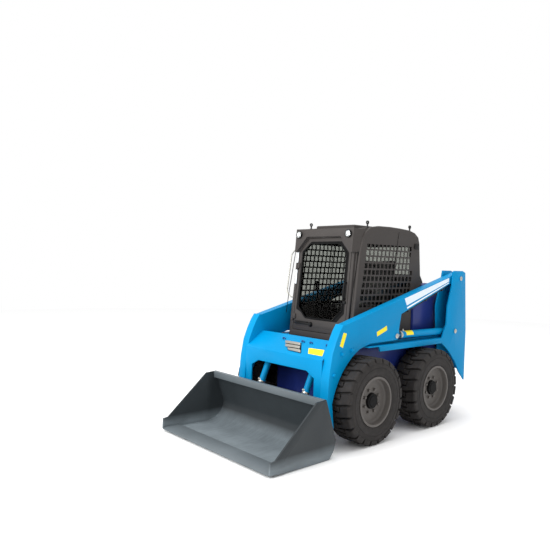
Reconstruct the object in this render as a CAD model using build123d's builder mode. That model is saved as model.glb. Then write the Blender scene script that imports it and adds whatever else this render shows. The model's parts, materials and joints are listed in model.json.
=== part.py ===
"""Skid steer loader: a compact machine on four fixed-axle wheels, with a cage cab and a bucket on two lift arms.

Millimetres. +Z is up, the bucket points to -Y and the machine's left side is +X. The origin is on the ground, under the
middle of the machine's overall box. Outlines seen from the side are lists of (y, z) points.
"""
from build123d import *
from math import atan2, cos, hypot, radians, sin, sqrt
import os

os.makedirs("parts", exist_ok=True)

# ---------------------------------------------------------------- driving sizes
HALF_LENGTH = 1497.0  # half of the length over the cutting edge and the rear bumper
RUN = 0.05  # radial clearance of a pin turning in its bore
SIDE_GAP = 5.0  # sideways clearance between a moving piece and the plates beside it
SEAT_GAP = 0.3  # gap between pieces that rest against each other

# wheels
WHEELBASE = 962.0
AXLE_MID_Y = 248.0  # middle of the wheelbase
TYRE_RADIUS = 387.5  # to the tips of the lugs
LUG_DEPTH = 22.0
LUGS = 15  # in each of the two rows
TYRE_WIDTH = 262.0
TYRE_OUTER_X = 752.0
RIM_RADIUS = 209.5  # bead seat
RIM_FLANGE = 13.0
RIM_SHEET = 6.0
DISC_INSET = 62.0  # from the rim's outer edge to the outer face of its disc
DISC_THICKNESS = 12.0
HUB_RADIUS = 70.0
HUB_PROUD = 24.0  # how far the hub cap stands out of the disc
AXLE_RADIUS = 62.0

# chassis
CHASSIS_HALF_WIDTH = 450.0
CHASSIS_FRONT_Y = -330.0
BUMPER_DEPTH = 102.0
CHASSIS_REAR_Y = HALF_LENGTH - BUMPER_DEPTH
CHASSIS_BOTTOM_Z = 205.0
CHASSIS_TOP_Z = 855.0
CHASSIS_WALL = 12.0
CHASSIS_FLANGE = 80.0  # width of the ledge inside the tub that carries the cab and the hood
FLANGE_PLATE = 15.0  # plate of the towers and step rails
TOWER_OUTER_X = 625.0
PIN_PROUD = 7.0  # how far a pin's head stands out of its plate
TOWER_INNER_X = 470.0
TOWER_REAR_Y = HALF_LENGTH - 12.0
RAIL_TOP_Z = 855.0
RAIL_BOTTOM_Z = 802.0
RAIL_FRONT_Y = -215.0
RAIL_FLANGE_FRONT_Y = -43.0
BUMPER_HEIGHT = 300.0
BUMPER_BOTTOM_Z = 330.0
TOW_PIN_RADIUS = 16.0

# lift arms
ARM_OUTER_X = 600.0
ARM_WIDTH = 90.0
LIFT_PIVOT_Y, LIFT_PIVOT_Z = TOWER_REAR_Y - 146.0, 1481.0
LIFT_PIN_RADIUS = 25.0
ARM_BOSS_RADIUS = 61.0
BUCKET_PIVOT_Y, BUCKET_PIVOT_Z = -680.0, 190.0
BUCKET_PIN_RADIUS = 22.0
LEG_BOSS_RADIUS = 52.0

# lift cylinders
LIFT_BASE_Y, LIFT_BASE_Z = TOWER_REAR_Y - 227.0, 916.0
LIFT_EYE_Y, LIFT_EYE_Z = 237.0, 925.0
LIFT_BORE_OUTER = 36.0  # outer radius of the barrel
LIFT_ROD_RADIUS = 20.0
LIFT_CLOSED_GAP = 101.0  # from the barrel's gland to the rod's eye, drawn in
LIFT_STROKE = 543.0
EYE_WIDTH = 50.0
EYE_RADIUS = 32.0
CYLINDER_PIN_RADIUS = 18.0

# tilt cylinders
TILT_X = 300.0
TILT_BASE_Y, TILT_BASE_Z = -500.0, 820.0
TILT_EYE_Y, TILT_EYE_Z = -725.0, 330.0
TILT_BORE_OUTER = 30.0
TILT_ROD_RADIUS = 16.0
TILT_STROKE = 222.0  # drawn out from the level bucket
TILT_REST_GAP = 109.0  # from the barrel's gland to the rod's eye, with the bucket level
TILT_EYE_RADIUS = 26.0
TILT_EYE_WIDTH = 66.0
TILT_PIN_RADIUS = 14.0
LUG_PLATE = 14.0

# front cross member
PANEL_PLATE = 12.0
PANEL_FACE_Y = -702.0
PANEL_FOLD_Z = 762.0
PANEL_TOP_Y, PANEL_TOP_Z = -492.0, 905.0
PANEL_EDGE_Z = 648.0  # lower edge over the opening
OPENING_HALF_WIDTH = 420.0
OPENING_CHAMFER = 95.0
LEG_SKIRT_Z = 300.0
TORQUE_TUBE_RADIUS = 52.0
TORQUE_TUBE_Y, TORQUE_TUBE_Z = -402.0, 838.0

# bucket
BUCKET_WIDTH = 1510.0
BUCKET_SHEET = 10.0
BUCKET_SIDE = 10.0
STRIP_PLATE = 6.0
BUCKET_BOTTOM_Z = 3.0
CUTTING_EDGE_DEPTH = 150.0
CUTTING_EDGE_PLATE = 18.0
LIP_HEIGHT = 62.0
LIP_DEPTH = 34.0

# cab
CAB_HALF_WIDTH = 420.0
CAB_WALL = 26.0
CAB_FRAME_HALF_WIDTH = 380.0
CAB_BASE_Z = CHASSIS_TOP_Z + SEAT_GAP
CAB_SILL_Z = 868.0
CAB_FRONT_SILL_Y = -236.0  # front face at the sill
CAB_FRONT_TOP_Y = -142.0  # front face at the top of the visor
CAB_VISOR_TOP_Z = 1940.0
CAB_FRAME_DEPTH = 40.0
CAB_STRIP = 16.0  # thickness of the recessed strip between the front frame and the sides
CAB_REAR_Y = 884.0
CAB_KNEE_Y, CAB_KNEE_Z = 730.0, 1285.0
VISOR_PROUD = 36.0
DOOR_BOTTOM = 58.0  # measured up the front face from the sill
DOOR_SHOULDER = 835.0
DOOR_TOP = 985.0
DOOR_HALF_WIDTH = 345.0
DOOR_TOP_HALF_WIDTH = 215.0
DOOR_GAP = 5.0
DOOR_THICKNESS = 30.0
GLASS_BORDER = 52.0
GLASS_THICKNESS = 6.0
GLASS_BOTTOM = 185.0
REAR_WINDOW_HALF_WIDTH = 300.0
REAR_PANE_HEIGHT = 289.4
REAR_PANE_MIDDLE_Z = 1655.0
GRILLE_PITCH = 62.0
GRILLE_HOLE = 46.0
LAMP_RADIUS = 37.0
LAMP_X = 327.0
LAMP_Z = 1878.0
LIFTING_EYE_X = 374.0
LIFTING_EYES_Y = (28.0, 725.0)
LIFTING_EYE_TOP_Z = 2022.0
LIFTING_EYE_BORE = 9.0

# engine end
HOOD_HALF_WIDTH = 440.0
HOOD_TOP_Z = 1425.0
HOOD_SHEET = 4.0
HOOD_GAP = 12.0  # behind the cab
REAR_DOOR_THICKNESS = 36.0
REAR_DOOR_HALF_WIDTH = 420.0
HINGE_RADIUS = 12.0
HINGE_PIN_RADIUS = 6.0

AXLES_Y = (AXLE_MID_Y - WHEELBASE / 2, AXLE_MID_Y + WHEELBASE / 2)
SIDES = (("left", 1), ("right", -1))
ARM_INNER_X = ARM_OUTER_X - ARM_WIDTH
ARM_MID_X = ARM_OUTER_X - ARM_WIDTH / 2


# ---------------------------------------------------------------- helpers
def save(part, name):
    part.label = name
    export_step(part, f"parts/{name}.step")


def slab(points, x_start, thickness):
    """A plate standing fore and aft, cut to an outline of (y, z) points."""
    with BuildPart() as plate:
        with BuildSketch(Plane.YZ.offset(x_start)):
            with BuildLine():
                Polyline(*points, close=True)
            make_face()
        extrude(amount=thickness)
    return plate.part


def bar_x(y, z, radius, x_start, x_end):
    """A round bar, pin or bore lying across the machine."""
    with BuildPart() as bar:
        with BuildSketch(Plane.YZ.offset(x_start)):
            with Locations((y, z)):
                Circle(radius)
        extrude(amount=x_end - x_start)
    return bar.part


def block(x_range, y_range, z_range):
    """A rectangular block between two limits along each axis."""
    with BuildPart() as body:
        with BuildSketch(Plane.XY.offset(z_range[0])):
            with Locations(((x_range[0] + x_range[1]) / 2, (y_range[0] + y_range[1]) / 2)):
                Rectangle(x_range[1] - x_range[0], y_range[1] - y_range[0])
        extrude(amount=z_range[1] - z_range[0])
    return body.part


def both_sides(part):
    """A left-hand piece and its mirror image, by side name."""
    return {"left": part, "right": mirror(part, about=Plane.YZ)}


# ---------------------------------------------------------------- wheels
CARCASS = [  # across the tyre from its middle, radius
    (-101, RIM_RADIUS + 4),
    (-TYRE_WIDTH / 2, 0.76 * TYRE_RADIUS),
    (-112, TYRE_RADIUS - LUG_DEPTH - 4),
    (112, TYRE_RADIUS - LUG_DEPTH - 4),
    (TYRE_WIDTH / 2, 0.76 * TYRE_RADIUS),
    (101, RIM_RADIUS + 4),
]
LUG_OUTLINE = [  # across the tyre from its middle, along the tread
    (-10, -40),
    (52, -9),
    (121, -9),
    (121, 46),
    (44, 46),
    (-10, 4),
]


def tyre(axle_y):
    """An off-road tyre: a carcass of flat facets with two rows of bent lugs, half a pitch apart."""
    middle = TYRE_OUTER_X - TYRE_WIDTH / 2
    lug_base = TYRE_RADIUS - LUG_DEPTH - 16
    lug_top = sqrt(TYRE_RADIUS**2 - max(t for _, t in LUG_OUTLINE) ** 2)
    pitch = 360 / LUGS
    with BuildPart() as body:
        for offset, radius in CARCASS:
            with BuildSketch(Plane.YZ.offset(middle + offset)):
                with Locations((axle_y, TYRE_RADIUS)):
                    RegularPolygon(radius, 2 * LUGS)
        loft(ruled=True)
        for side in (-1, 1):
            for number in range(LUGS):
                turn = radians(number * pitch + (pitch / 2 if side < 0 else 0))
                out = (0, cos(turn), sin(turn))
                foot = (middle, axle_y + lug_base * cos(turn), TYRE_RADIUS + lug_base * sin(turn))
                with BuildSketch(Plane(origin=foot, x_dir=(1, 0, 0), z_dir=out)):
                    Polygon(*[(side * across, along) for across, along in LUG_OUTLINE], align=None)
        extrude(amount=lug_top - lug_base)
        with BuildSketch(Plane.YZ.offset(TYRE_OUTER_X)):
            with Locations((axle_y, TYRE_RADIUS)):
                RegularPolygon(RIM_RADIUS + SEAT_GAP, 2 * LUGS, major_radius=False)
        extrude(amount=-TYRE_WIDTH, mode=Mode.SUBTRACT)
    return body.part


def rim(axle_y):
    """A one-piece steel wheel: flanged rim, inset disc and hub cap."""
    outer = TYRE_OUTER_X - 8
    inner = TYRE_OUTER_X - TYRE_WIDTH + 8
    seat = TYRE_RADIUS + RIM_RADIUS
    flange = seat + RIM_FLANGE
    under = seat - RIM_SHEET
    disc = outer - DISC_INSET
    hub = TYRE_RADIUS + HUB_RADIUS
    with BuildPart() as wheel:
        with BuildSketch(Plane.XZ.offset(-axle_y)):
            with BuildLine():
                Polyline(
                    (outer, under),
                    (outer, flange),
                    (outer - 6, flange),
                    (outer - 9, seat),
                    (inner + 9, seat),
                    (inner + 6, flange),
                    (inner, flange),
                    (inner, under),
                    (disc - DISC_THICKNESS, under - 8),
                    (disc - DISC_THICKNESS, TYRE_RADIUS),
                    (disc + HUB_PROUD, TYRE_RADIUS),
                    (disc + HUB_PROUD, hub - 6),
                    (disc, hub),
                    (disc, under - 18),
                    (disc + 12, under - 4),
                    close=True,
                )
            make_face()
        revolve(axis=Axis((0, axle_y, TYRE_RADIUS), (1, 0, 0)))
    return wheel.part


# ---------------------------------------------------------------- chassis
def chassis():
    """The main frame: a welded tub between the wheels, open above the engine."""
    wall = CHASSIS_WALL
    outline = [
        (CHASSIS_FRONT_Y, CHASSIS_BOTTOM_Z + 120),
        (CHASSIS_FRONT_Y + 110, CHASSIS_BOTTOM_Z),
        (CHASSIS_REAR_Y - 160, CHASSIS_BOTTOM_Z),
        (CHASSIS_REAR_Y, CHASSIS_BOTTOM_Z + 130),
        (CHASSIS_REAR_Y, CHASSIS_TOP_Z),
        (CHASSIS_FRONT_Y, CHASSIS_TOP_Z),
    ]
    cavity = [
        (CHASSIS_FRONT_Y + wall, CHASSIS_BOTTOM_Z + 125),
        (CHASSIS_FRONT_Y + 115, CHASSIS_BOTTOM_Z + wall),
        (CHASSIS_REAR_Y - 165, CHASSIS_BOTTOM_Z + wall),
        (CHASSIS_REAR_Y - wall, CHASSIS_BOTTOM_Z + 135),
        (CHASSIS_REAR_Y - wall, CHASSIS_TOP_Z + 1),
        (CHASSIS_FRONT_Y + wall, CHASSIS_TOP_Z + 1),
    ]
    with BuildPart() as tub:
        add(slab(outline, -CHASSIS_HALF_WIDTH, 2 * CHASSIS_HALF_WIDTH))
        add(slab(cavity, -CHASSIS_HALF_WIDTH + wall, 2 * (CHASSIS_HALF_WIDTH - wall)), mode=Mode.SUBTRACT)
        deck_z = (CHASSIS_TOP_Z - wall, CHASSIS_TOP_Z)
        for _, sign in SIDES:
            flange = sorted((sign * CHASSIS_HALF_WIDTH, sign * (CHASSIS_HALF_WIDTH - CHASSIS_FLANGE)))
            add(block(flange, (CHASSIS_FRONT_Y, CHASSIS_REAR_Y), deck_z))
        across = (-CHASSIS_HALF_WIDTH, CHASSIS_HALF_WIDTH)
        add(block(across, (CHASSIS_FRONT_Y, CAB_FRONT_SILL_Y + CAB_FRAME_DEPTH), deck_z))
    return tub.part


def axle_stubs():
    """Four stub axles, from the chassis walls to the wheel discs, each with its flange on the wall."""
    disc = TYRE_OUTER_X - 8 - DISC_INSET - DISC_THICKNESS
    with BuildPart() as stubs:
        for axle_y in AXLES_Y:
            for _, sign in SIDES:
                wall = CHASSIS_HALF_WIDTH
                add(bar_x(axle_y, TYRE_RADIUS, AXLE_RADIUS, *sorted((sign * wall, sign * (disc - SEAT_GAP)))))
                add(bar_x(axle_y, TYRE_RADIUS, AXLE_RADIUS + 48, *sorted((sign * wall, sign * (wall + 16)))))
    return stubs.part


TOWER_OUTER_PLATE = [  # distance ahead of the tower's rear, height
    (295, 1549),
    (269, 1563),
    (105, 1563),
    (47, 1544),
    (0, 911),
    (3, 364),
    (118, 468),
    (205, 589),
    (358, 726),
    (477, RAIL_BOTTOM_Z),
    (477, RAIL_TOP_Z),
    (399, 1000),
    (387, 1189),
    (312, 1405),
]
TOWER_INNER_PLATE = [
    (269, 1563),
    (105, 1563),
    (47, 1544),
    (0, 911),
    (0, 500),
    (305, 500),
    (358, RAIL_TOP_Z),
    (387, 1189),
    (312, 1405),
]
TOWER_CLOSING_PLATE = [(47, 1544), (0, 911), (3, 480), (19, 480), (16, 911), (63, 1544)]


def tower():
    """The left rear tower: two plates with the arm between them, closed behind, with its step rail and two pins."""
    outer_start = TOWER_OUTER_X - FLANGE_PLATE
    plates = (  # outline, where it starts, thickness
        (TOWER_OUTER_PLATE, outer_start, FLANGE_PLATE),
        (TOWER_INNER_PLATE, TOWER_INNER_X, FLANGE_PLATE),
        (TOWER_CLOSING_PLATE, TOWER_INNER_X, TOWER_OUTER_X - TOWER_INNER_X),
    )
    rail_rear = TOWER_REAR_Y - 477
    rail = [
        (RAIL_FLANGE_FRONT_Y, RAIL_BOTTOM_Z),
        (rail_rear, RAIL_BOTTOM_Z),
        (rail_rear, RAIL_TOP_Z),
        (RAIL_FLANGE_FRONT_Y - 20, RAIL_TOP_Z),
    ]
    with BuildPart() as body:
        for outline, start, thickness in plates:
            add(slab([(TOWER_REAR_Y - ahead, z) for ahead, z in outline], start, thickness))
        add(slab(rail, outer_start, FLANGE_PLATE))
        shelf = (RAIL_FRONT_Y, TOWER_REAR_Y - 345)
        add(block((CHASSIS_HALF_WIDTH, TOWER_OUTER_X), shelf, (RAIL_TOP_Z - 8, RAIL_TOP_Z)))
        web = (TOWER_REAR_Y - 305, CHASSIS_REAR_Y)
        add(block((CHASSIS_HALF_WIDTH, TOWER_INNER_X), web, (500, RAIL_TOP_Z)))
        for y, z, radius in (
            (LIFT_PIVOT_Y, LIFT_PIVOT_Z, LIFT_PIN_RADIUS),
            (LIFT_BASE_Y, LIFT_BASE_Z, CYLINDER_PIN_RADIUS),
        ):
            add(bar_x(y, z, radius, TOWER_INNER_X, TOWER_OUTER_X + PIN_PROUD))
    return body.part


def rear_bumper():
    """The counterweight across the back, with the bore of the tow pin through its lip."""
    front = CHASSIS_REAR_Y + SEAT_GAP
    outline = [
        (front, BUMPER_BOTTOM_Z),
        (HALF_LENGTH - 30, BUMPER_BOTTOM_Z),
        (HALF_LENGTH, BUMPER_BOTTOM_Z + 30),
        (HALF_LENGTH, BUMPER_BOTTOM_Z + BUMPER_HEIGHT - 40),
        (HALF_LENGTH - 25, BUMPER_BOTTOM_Z + BUMPER_HEIGHT),
        (front, BUMPER_BOTTOM_Z + BUMPER_HEIGHT),
    ]
    slot_z = BUMPER_BOTTOM_Z + 110
    with BuildPart() as bumper:
        add(slab(outline, -TOWER_INNER_X + SEAT_GAP, 2 * (TOWER_INNER_X - SEAT_GAP)))
        add(block((-75, 75), (front + 20, HALF_LENGTH + 5), (slot_z, slot_z + 60)), mode=Mode.SUBTRACT)
        with Locations(Plane.XY.offset(slot_z)):
            with Locations((0, HALF_LENGTH - 38)):
                Hole(TOW_PIN_RADIUS)
    return bumper.part


# ---------------------------------------------------------------- engine end
def engine_block():
    """The engine, as one plain block on the floor of the tub."""
    return block((-190, 190), (880, 1220), (CHASSIS_BOTTOM_Z + CHASSIS_WALL + SEAT_GAP, 1200))


def hood_section(inset):
    """The engine cover from the side, following the cab's back; inset moves it inwards by a sheet."""
    front = CAB_KNEE_Y + HOOD_GAP + inset
    low = CHASSIS_TOP_Z + (-1 if inset else SEAT_GAP)
    rear = CHASSIS_REAR_Y + (1 if inset else 0)
    return [
        (front, low),
        (front, CAB_KNEE_Z - inset / 2),
        (CAB_REAR_Y + 62 + inset, HOOD_TOP_Z - inset),
        (CHASSIS_REAR_Y - 65, HOOD_TOP_Z - 18 - inset),
        (rear, HOOD_TOP_Z - 150 - 2 * inset),
        (rear, low),
    ]


def engine_hood():
    """The sheet-metal engine cover, open below and behind."""
    with BuildPart() as hood:
        add(slab(hood_section(0), -HOOD_HALF_WIDTH, 2 * HOOD_HALF_WIDTH))
        inner = HOOD_HALF_WIDTH - HOOD_SHEET
        add(slab(hood_section(HOOD_SHEET), -inner, 2 * inner), mode=Mode.SUBTRACT)
    return hood.part


REAR_DOOR_Y = CHASSIS_REAR_Y + SEAT_GAP + 2
REAR_DOOR_BOTTOM_Z = BUMPER_BOTTOM_Z + BUMPER_HEIGHT + 8
REAR_DOOR_TOP_Z = HOOD_TOP_Z - 170
REAR_HINGE_X = REAR_DOOR_HALF_WIDTH + 18
REAR_HINGE_Y = REAR_DOOR_Y + REAR_DOOR_THICKNESS
REAR_HINGES_Z = (REAR_DOOR_BOTTOM_Z + 90, REAR_DOOR_TOP_Z - 90)
KNUCKLE_LENGTH = 50.0


def bar_z(x, y, radius, z_start, z_end):
    """A round upright bar or bore."""
    with BuildPart() as bar:
        with BuildSketch(Plane.XY.offset(z_start)):
            with Locations((x, y)):
                Circle(radius)
        extrude(amount=z_end - z_start)
    return bar.part


def engine_door():
    """The rear door between the towers, with two banks of louvres, and its hinge knuckles on the machine's left."""
    outer = REAR_DOOR_Y + REAR_DOOR_THICKNESS
    with BuildPart() as door:
        add(
            block(
                (-REAR_DOOR_HALF_WIDTH, REAR_DOOR_HALF_WIDTH),
                (REAR_DOOR_Y, outer),
                (REAR_DOOR_BOTTOM_Z, REAR_DOOR_TOP_Z),
            )
        )
        with BuildSketch(Plane.XZ.offset(-outer)):
            with Locations((0, (REAR_DOOR_BOTTOM_Z + REAR_DOOR_TOP_Z) / 2 + 60)):
                with GridLocations(330, 46, 2, 7):
                    Rectangle(290, 22)
        extrude(amount=REAR_DOOR_THICKNESS, mode=Mode.SUBTRACT)
        for z in REAR_HINGES_Z:
            leaf = (REAR_DOOR_HALF_WIDTH - 6, REAR_HINGE_X)
            add(block(leaf, (REAR_HINGE_Y - 8, REAR_HINGE_Y), (z - KNUCKLE_LENGTH / 2, z + KNUCKLE_LENGTH / 2)))
            add(bar_z(REAR_HINGE_X, REAR_HINGE_Y, HINGE_RADIUS, z - KNUCKLE_LENGTH / 2, z + KNUCKLE_LENGTH / 2))
            bore = HINGE_PIN_RADIUS + RUN
            add(bar_z(REAR_HINGE_X, REAR_HINGE_Y, bore, z - 40, z + 40), mode=Mode.SUBTRACT)
    return door.part


def rear_hinge_pins():
    """The engine door's two hinge pins, each on its bracket from the left tower."""
    with BuildPart() as pins:
        for z in REAR_HINGES_Z:
            top = z - KNUCKLE_LENGTH / 2 - SEAT_GAP
            add(bar_z(REAR_HINGE_X, REAR_HINGE_Y, HINGE_PIN_RADIUS, top - 14, z + KNUCKLE_LENGTH / 2 + 6))
            add(bar_z(REAR_HINGE_X, REAR_HINGE_Y, HINGE_RADIUS, top - 14, top))
            reach = (REAR_HINGE_X, TOWER_INNER_X - SEAT_GAP)
            add(block(reach, (REAR_HINGE_Y - HINGE_RADIUS, REAR_HINGE_Y + HINGE_RADIUS), (top - 14, top)))
    return pins.part


# ---------------------------------------------------------------- cab
LEAN = atan2(CAB_FRONT_TOP_Y - CAB_FRONT_SILL_Y, CAB_VISOR_TOP_Z - CAB_SILL_Z)
FACE_HEIGHT = hypot(CAB_FRONT_TOP_Y - CAB_FRONT_SILL_Y, CAB_VISOR_TOP_Z - CAB_SILL_Z)


def front_plane(depth):
    """The cab's leaning front face, moved back into the cab by a depth; local y runs up the face from the sill."""
    origin = (0, CAB_FRONT_SILL_Y + depth * cos(LEAN), CAB_SILL_Z - depth * sin(LEAN))
    return Plane(origin=origin, x_dir=(1, 0, 0), z_dir=(0, -cos(LEAN), sin(LEAN)))


def face_slab(points, depth, thickness):
    """A plate parallel to the cab's front face, from a depth behind it, thickness towards the front."""
    with BuildPart() as plate:
        with BuildSketch(front_plane(depth)):
            with BuildLine():
                Polyline(*points, close=True)
            make_face()
        extrude(amount=thickness)
    return plate.part


def door_outline(grow):
    """The door seen square on, wider by a margin on every side."""
    half, top_half = DOOR_HALF_WIDTH + grow, DOOR_TOP_HALF_WIDTH + grow / 2
    return [
        (-half, DOOR_BOTTOM - grow),
        (half, DOOR_BOTTOM - grow),
        (half, DOOR_SHOULDER + grow / 2),
        (top_half, DOOR_TOP + grow),
        (-top_half, DOOR_TOP + grow),
        (-half, DOOR_SHOULDER + grow / 2),
    ]


def glass_outline(grow):
    """The door's pane: chamfered at the four corners."""
    half = DOOR_HALF_WIDTH - GLASS_BORDER + grow
    top = DOOR_TOP - GLASS_BORDER + grow
    return [
        (-half + 110, GLASS_BOTTOM - grow),
        (half - 110, GLASS_BOTTOM - grow),
        (half, GLASS_BOTTOM + 105),
        (half, DOOR_SHOULDER + grow / 2),
        (half - 95, top),
        (-half + 95, top),
        (-half, DOOR_SHOULDER + grow / 2),
        (-half, GLASS_BOTTOM + 105),
    ]


DOOR_HINGE_X = -DOOR_HALF_WIDTH - DOOR_GAP
DOOR_HINGES = (DOOR_BOTTOM + 130, DOOR_SHOULDER - 130)  # up the face
DOOR_HINGE_PROUD = 14.0


def hinge_bar(height, length, radius):
    """A bar along the cab door's hinge line, centred at a height up the face."""
    start = front_plane(-DOOR_HINGE_PROUD)
    line = Plane(
        origin=start.from_local_coords((DOOR_HINGE_X, height - length / 2, 0)),
        z_dir=(0, sin(LEAN), cos(LEAN)),
    )
    with BuildPart() as bar:
        with BuildSketch(line):
            Circle(radius)
        extrude(amount=length)
    return bar.part


def cab_front_frame():
    """The front hoop of the cab: pillars, sill and the chamfered visor over the door, with the door's hinge pins."""
    half = CAB_FRAME_HALF_WIDTH
    outline = [(-half, 0), (half, 0), (half, FACE_HEIGHT), (-half, FACE_HEIGHT)]
    shoulder = DOOR_SHOULDER + 8
    visor = [
        (half, shoulder),
        (half, FACE_HEIGHT),
        (-half, FACE_HEIGHT),
        (-half, shoulder),
        (-half + 22, shoulder),
        (-DOOR_TOP_HALF_WIDTH - 8, DOOR_TOP + 12),
        (DOOR_TOP_HALF_WIDTH + 8, DOOR_TOP + 12),
        (half - 22, shoulder),
    ]
    with BuildPart() as frame:
        add(face_slab(outline, CAB_FRAME_DEPTH, CAB_FRAME_DEPTH))
        add(face_slab(visor, 0, VISOR_PROUD))
        for _, sign in SIDES:
            near, far = sign * (half - 5), sign * (CAB_HALF_WIDTH - CAB_WALL - SEAT_GAP)
            strip = [(near, 0), (far, 0), (far, FACE_HEIGHT - 70), (near, FACE_HEIGHT - 70)]
            add(face_slab(strip, CAB_FRAME_DEPTH, CAB_STRIP))
        add(face_slab(door_outline(DOOR_GAP), CAB_FRAME_DEPTH + 1, CAB_FRAME_DEPTH + 2), mode=Mode.SUBTRACT)
        for height in DOOR_HINGES:
            low = height - KNUCKLE_LENGTH / 2 - SEAT_GAP
            add(hinge_bar(height, KNUCKLE_LENGTH + 12, HINGE_PIN_RADIUS))
            add(hinge_bar(low - 8, 16, HINGE_RADIUS))
            x_low = DOOR_HINGE_X - HINGE_RADIUS
            foot = [
                (x_low, low - 16),
                (x_low + HINGE_RADIUS, low - 16),
                (x_low + HINGE_RADIUS, low),
                (x_low, low),
            ]
            add(face_slab(foot, 1, DOOR_HINGE_PROUD))
    return frame.part


def cab_door():
    """The front door's frame, as thick as the door, with its pane's rebate cut and knuckles on its right edge."""
    with BuildPart() as door:
        add(face_slab(door_outline(0), DOOR_THICKNESS, DOOR_THICKNESS))
        add(face_slab(glass_outline(0), DOOR_THICKNESS + 1, DOOR_THICKNESS + 2), mode=Mode.SUBTRACT)
        for height in DOOR_HINGES:
            half = KNUCKLE_LENGTH / 2
            leaf = [
                (DOOR_HINGE_X, height - half),
                (-DOOR_HALF_WIDTH + 30, height - half),
                (-DOOR_HALF_WIDTH + 30, height + half),
                (DOOR_HINGE_X, height + half),
            ]
            add(face_slab(leaf, 0, DOOR_HINGE_PROUD + 4))
            add(hinge_bar(height, KNUCKLE_LENGTH, HINGE_RADIUS))
            add(hinge_bar(height, KNUCKLE_LENGTH + 30, HINGE_PIN_RADIUS + RUN), mode=Mode.SUBTRACT)
    return door.part


def door_glass():
    depth = (DOOR_THICKNESS + GLASS_THICKNESS) / 2
    return face_slab(glass_outline(-SEAT_GAP), depth, GLASS_THICKNESS)


SIDE_OUTLINE = [
    (CAB_FRONT_SILL_Y + 22, CAB_BASE_Z),
    (CAB_FRONT_SILL_Y + 40, 1080),
    (-118, 1735),
    (-86, 1840),
    (-40, 1915),
    (30, 1960),
    (161, 1977),
    (345, 1980),
    (491, 1976),
    (668, 1966),
    (764, 1944),
    (829, 1902),
    (852, 1840),
    (CAB_REAR_Y, 1506),
    (CAB_REAR_Y + 40, 1450),
    (CAB_REAR_Y + 40, 1428),
    (CAB_KNEE_Y, CAB_KNEE_Z),
    (CAB_KNEE_Y, CAB_BASE_Z),
]
GRILLE_FRONT_Y, GRILLE_REAR_Y = -88.0, 712.0
GRILLE_TOP_Z, GRILLE_BOTTOM_Z = 1775.0, 1180.0


def cab_side():
    """The cab's left side: one sheet with a window of square holes, its front row following the leaning edge."""
    rows = int((GRILLE_TOP_Z - GRILLE_BOTTOM_Z) / GRILLE_PITCH) + 1
    with BuildPart() as side:
        add(slab(SIDE_OUTLINE, CAB_HALF_WIDTH - CAB_WALL, CAB_WALL))
        with BuildSketch(Plane.YZ.offset(CAB_HALF_WIDTH)):
            for row in range(rows):
                z = GRILLE_TOP_Z - row * GRILLE_PITCH
                lean = (GRILLE_TOP_Z - z) * 0.17
                start = GRILLE_FRONT_Y + 90 - lean
                columns = int((GRILLE_REAR_Y - start) / GRILLE_PITCH) + 1
                for column in range(columns):
                    with Locations((start + column * GRILLE_PITCH, z)):
                        Rectangle(GRILLE_HOLE, GRILLE_HOLE)
        extrude(amount=-CAB_WALL, mode=Mode.SUBTRACT)
    return side.part


ROOF_TOP = [
    (CAB_FRONT_TOP_Y + CAB_FRAME_DEPTH + 3, 1938),
    (-40, 1944),
    (30, 1952),
    (161, 1968),
    (345, 1971),
    (491, 1967),
    (668, 1957),
    (764, 1936),
    (815, 1902),
]


def roof_height(y):
    """Height of the roof plate's top at a place along the cab."""
    for (y_0, z_0), (y_1, z_1) in zip(ROOF_TOP, ROOF_TOP[1:]):
        if y_0 <= y <= y_1:
            return z_0 + (z_1 - z_0) * (y - y_0) / (y_1 - y_0)
    raise ValueError("not over the roof")


def cab_roof():
    """The roof plate between the sides, with its long shallow step."""
    top = ROOF_TOP
    under = [(y, z - CAB_WALL) for y, z in reversed(top)]
    inner = CAB_HALF_WIDTH - CAB_WALL
    with BuildPart() as roof:
        add(slab(top + under, -inner, 2 * inner))
        add(block((-250, 250), (-20, 640), (1950, 1985)))
    return roof.part


REAR_WALL = [(829, 1876), (852, 1840), (CAB_REAR_Y, 1506), (CAB_REAR_Y + 40, 1450), (CAB_REAR_Y + 40, 1428), (CAB_KNEE_Y, CAB_KNEE_Z), (CAB_KNEE_Y, CAB_BASE_Z + 22)]


def cab_rear_wall():
    """The cab's back, bent round the engine cover, with the rear window cut through it."""
    inner = CAB_HALF_WIDTH - CAB_WALL
    inside = [(y - CAB_WALL, z) for y, z in reversed(REAR_WALL)]
    with BuildPart() as wall:
        add(slab(REAR_WALL + inside, -inner, 2 * inner))
        height = REAR_PANE_HEIGHT / 2 + SEAT_GAP
        z_range = (REAR_PANE_MIDDLE_Z - height, REAR_PANE_MIDDLE_Z + height)
        half = REAR_WINDOW_HALF_WIDTH
        add(block((-half, half), (CAB_KNEE_Y, CAB_REAR_Y + 60), z_range), mode=Mode.SUBTRACT)
    return wall.part


WINDOW_MARGIN = 16.0  # how far a side pane reaches past the grille's outer holes


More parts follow.
